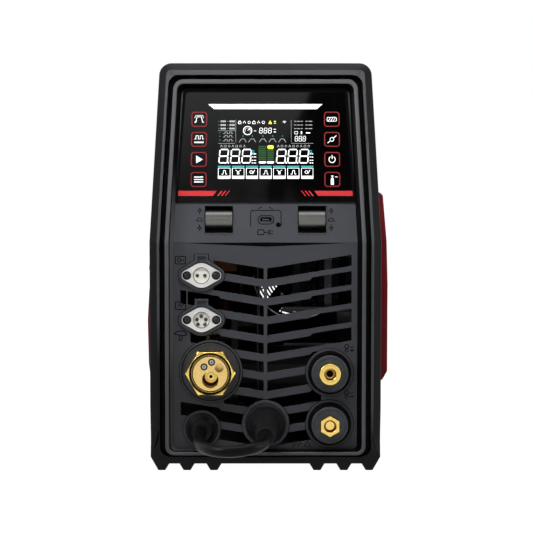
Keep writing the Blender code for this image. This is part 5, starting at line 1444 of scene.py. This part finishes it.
def stage_piece(name, corners, material):
    """Flat stage piece through four corners."""
    data = bpy.data.meshes.new(name)
    data.from_pydata(corners, [], [(0, 1, 2, 3)])
    data.materials.append(material)
    obj = bpy.data.objects.new(name, data)
    bpy.context.scene.collection.objects.link(obj)
    return obj


def card(name, y, low, high, left, right, spread, fall):
    """Upright card in front of the case that only reflections see; spread moves its right top corner."""
    obj = stage_piece(name, [(left, y, low), (right, y, low), (right + spread, y, high), (left, y, high)],
                      flag_finish(name, *fall))
    obj.visible_camera = False
    obj.visible_diffuse = False
    obj.visible_shadow = False
    obj.visible_transmission = False


def lamp(name, place, aim, size, power, mirrored_too=True):
    """Rectangular lamp at a place, turned to a point, not seen by the camera."""
    data = bpy.data.lights.new(name, "AREA")
    data.shape = "RECTANGLE"
    data.size, data.size_y = size
    data.energy = power
    obj = bpy.data.objects.new(name, data)
    obj.location = place
    x, y, z = np.array(aim) - np.array(place)
    obj.rotation_euler = (math.atan2(math.hypot(x, y), -z), 0.0, math.atan2(-x, y))
    obj.visible_camera = False
    obj.visible_glossy = mirrored_too
    bpy.context.scene.collection.objects.link(obj)


def studio():
    """Floor, world, lamps and the cards that the front mirrors."""
    stage_piece("floor", [(-15.0, -11.0, 0.0), (15.0, -11.0, 0.0), (15.0, 19.0, 0.0), (-15.0, 19.0, 0.0)],
                floor_finish())
    world = bpy.data.worlds.new("studio")
    world.use_nodes = True
    bpy.context.scene.world = world
    back = world.node_tree.nodes["Background"]
    seen, glossy, glass = rays(world.node_tree)
    back.inputs["Color"].default_value = (1.0, 1.0, 1.0, 1.0)
    strength = seen.math("MINIMUM", seen + glass + glossy + WORLD_LIGHT, 1.0)
    feed(world.node_tree, back.inputs["Strength"], strength)
    card("front_card", -3.4, -0.5, 6.0, -7.0, 7.0, 0.0, (0.5, 1.5, 0.55, 0.01))
    card("gleam_card", -2.0, 1.200, 1.700, -0.50, -0.035, 0.200, (1.22, 1.62, 0.12, 0.62))
    card("brow_card", -2.0, 0.62, 1.215, -1.3, 1.3, 0.0, (0.80, 1.215, 0.5, 4.5))
    lamp("key", (0.0, -0.47, 0.64), (0.0, -0.23, 0.26), (0.50, 0.12), KEY_POWER, False)
    lamp("left", (-0.85, -0.62, 0.80), (-0.10, -0.20, 0.36), (0.30, 0.40), LEFT_POWER)
    lamp("right", (1.10, -0.52, 0.36), (0.10, -0.20, 0.18), (0.30, 1.10), RIGHT_POWER)
    lamp("rear", (0.0, 1.90, 1.10), (0.0, 0.20, 0.25), (1.60, 0.90), REAR_POWER)
    sun = bpy.data.lights.new("sky", "SUN")
    sun.energy = SKY_POWER
    sun.angle = math.radians(SKY_ANGLE)
    sky = bpy.data.objects.new("sky", sun)
    sky.rotation_euler = (math.radians(-4.0), 0.0, 0.0)
    bpy.context.scene.collection.objects.link(sky)


studio()
bpy.context.scene.view_settings.view_transform = "Standard"
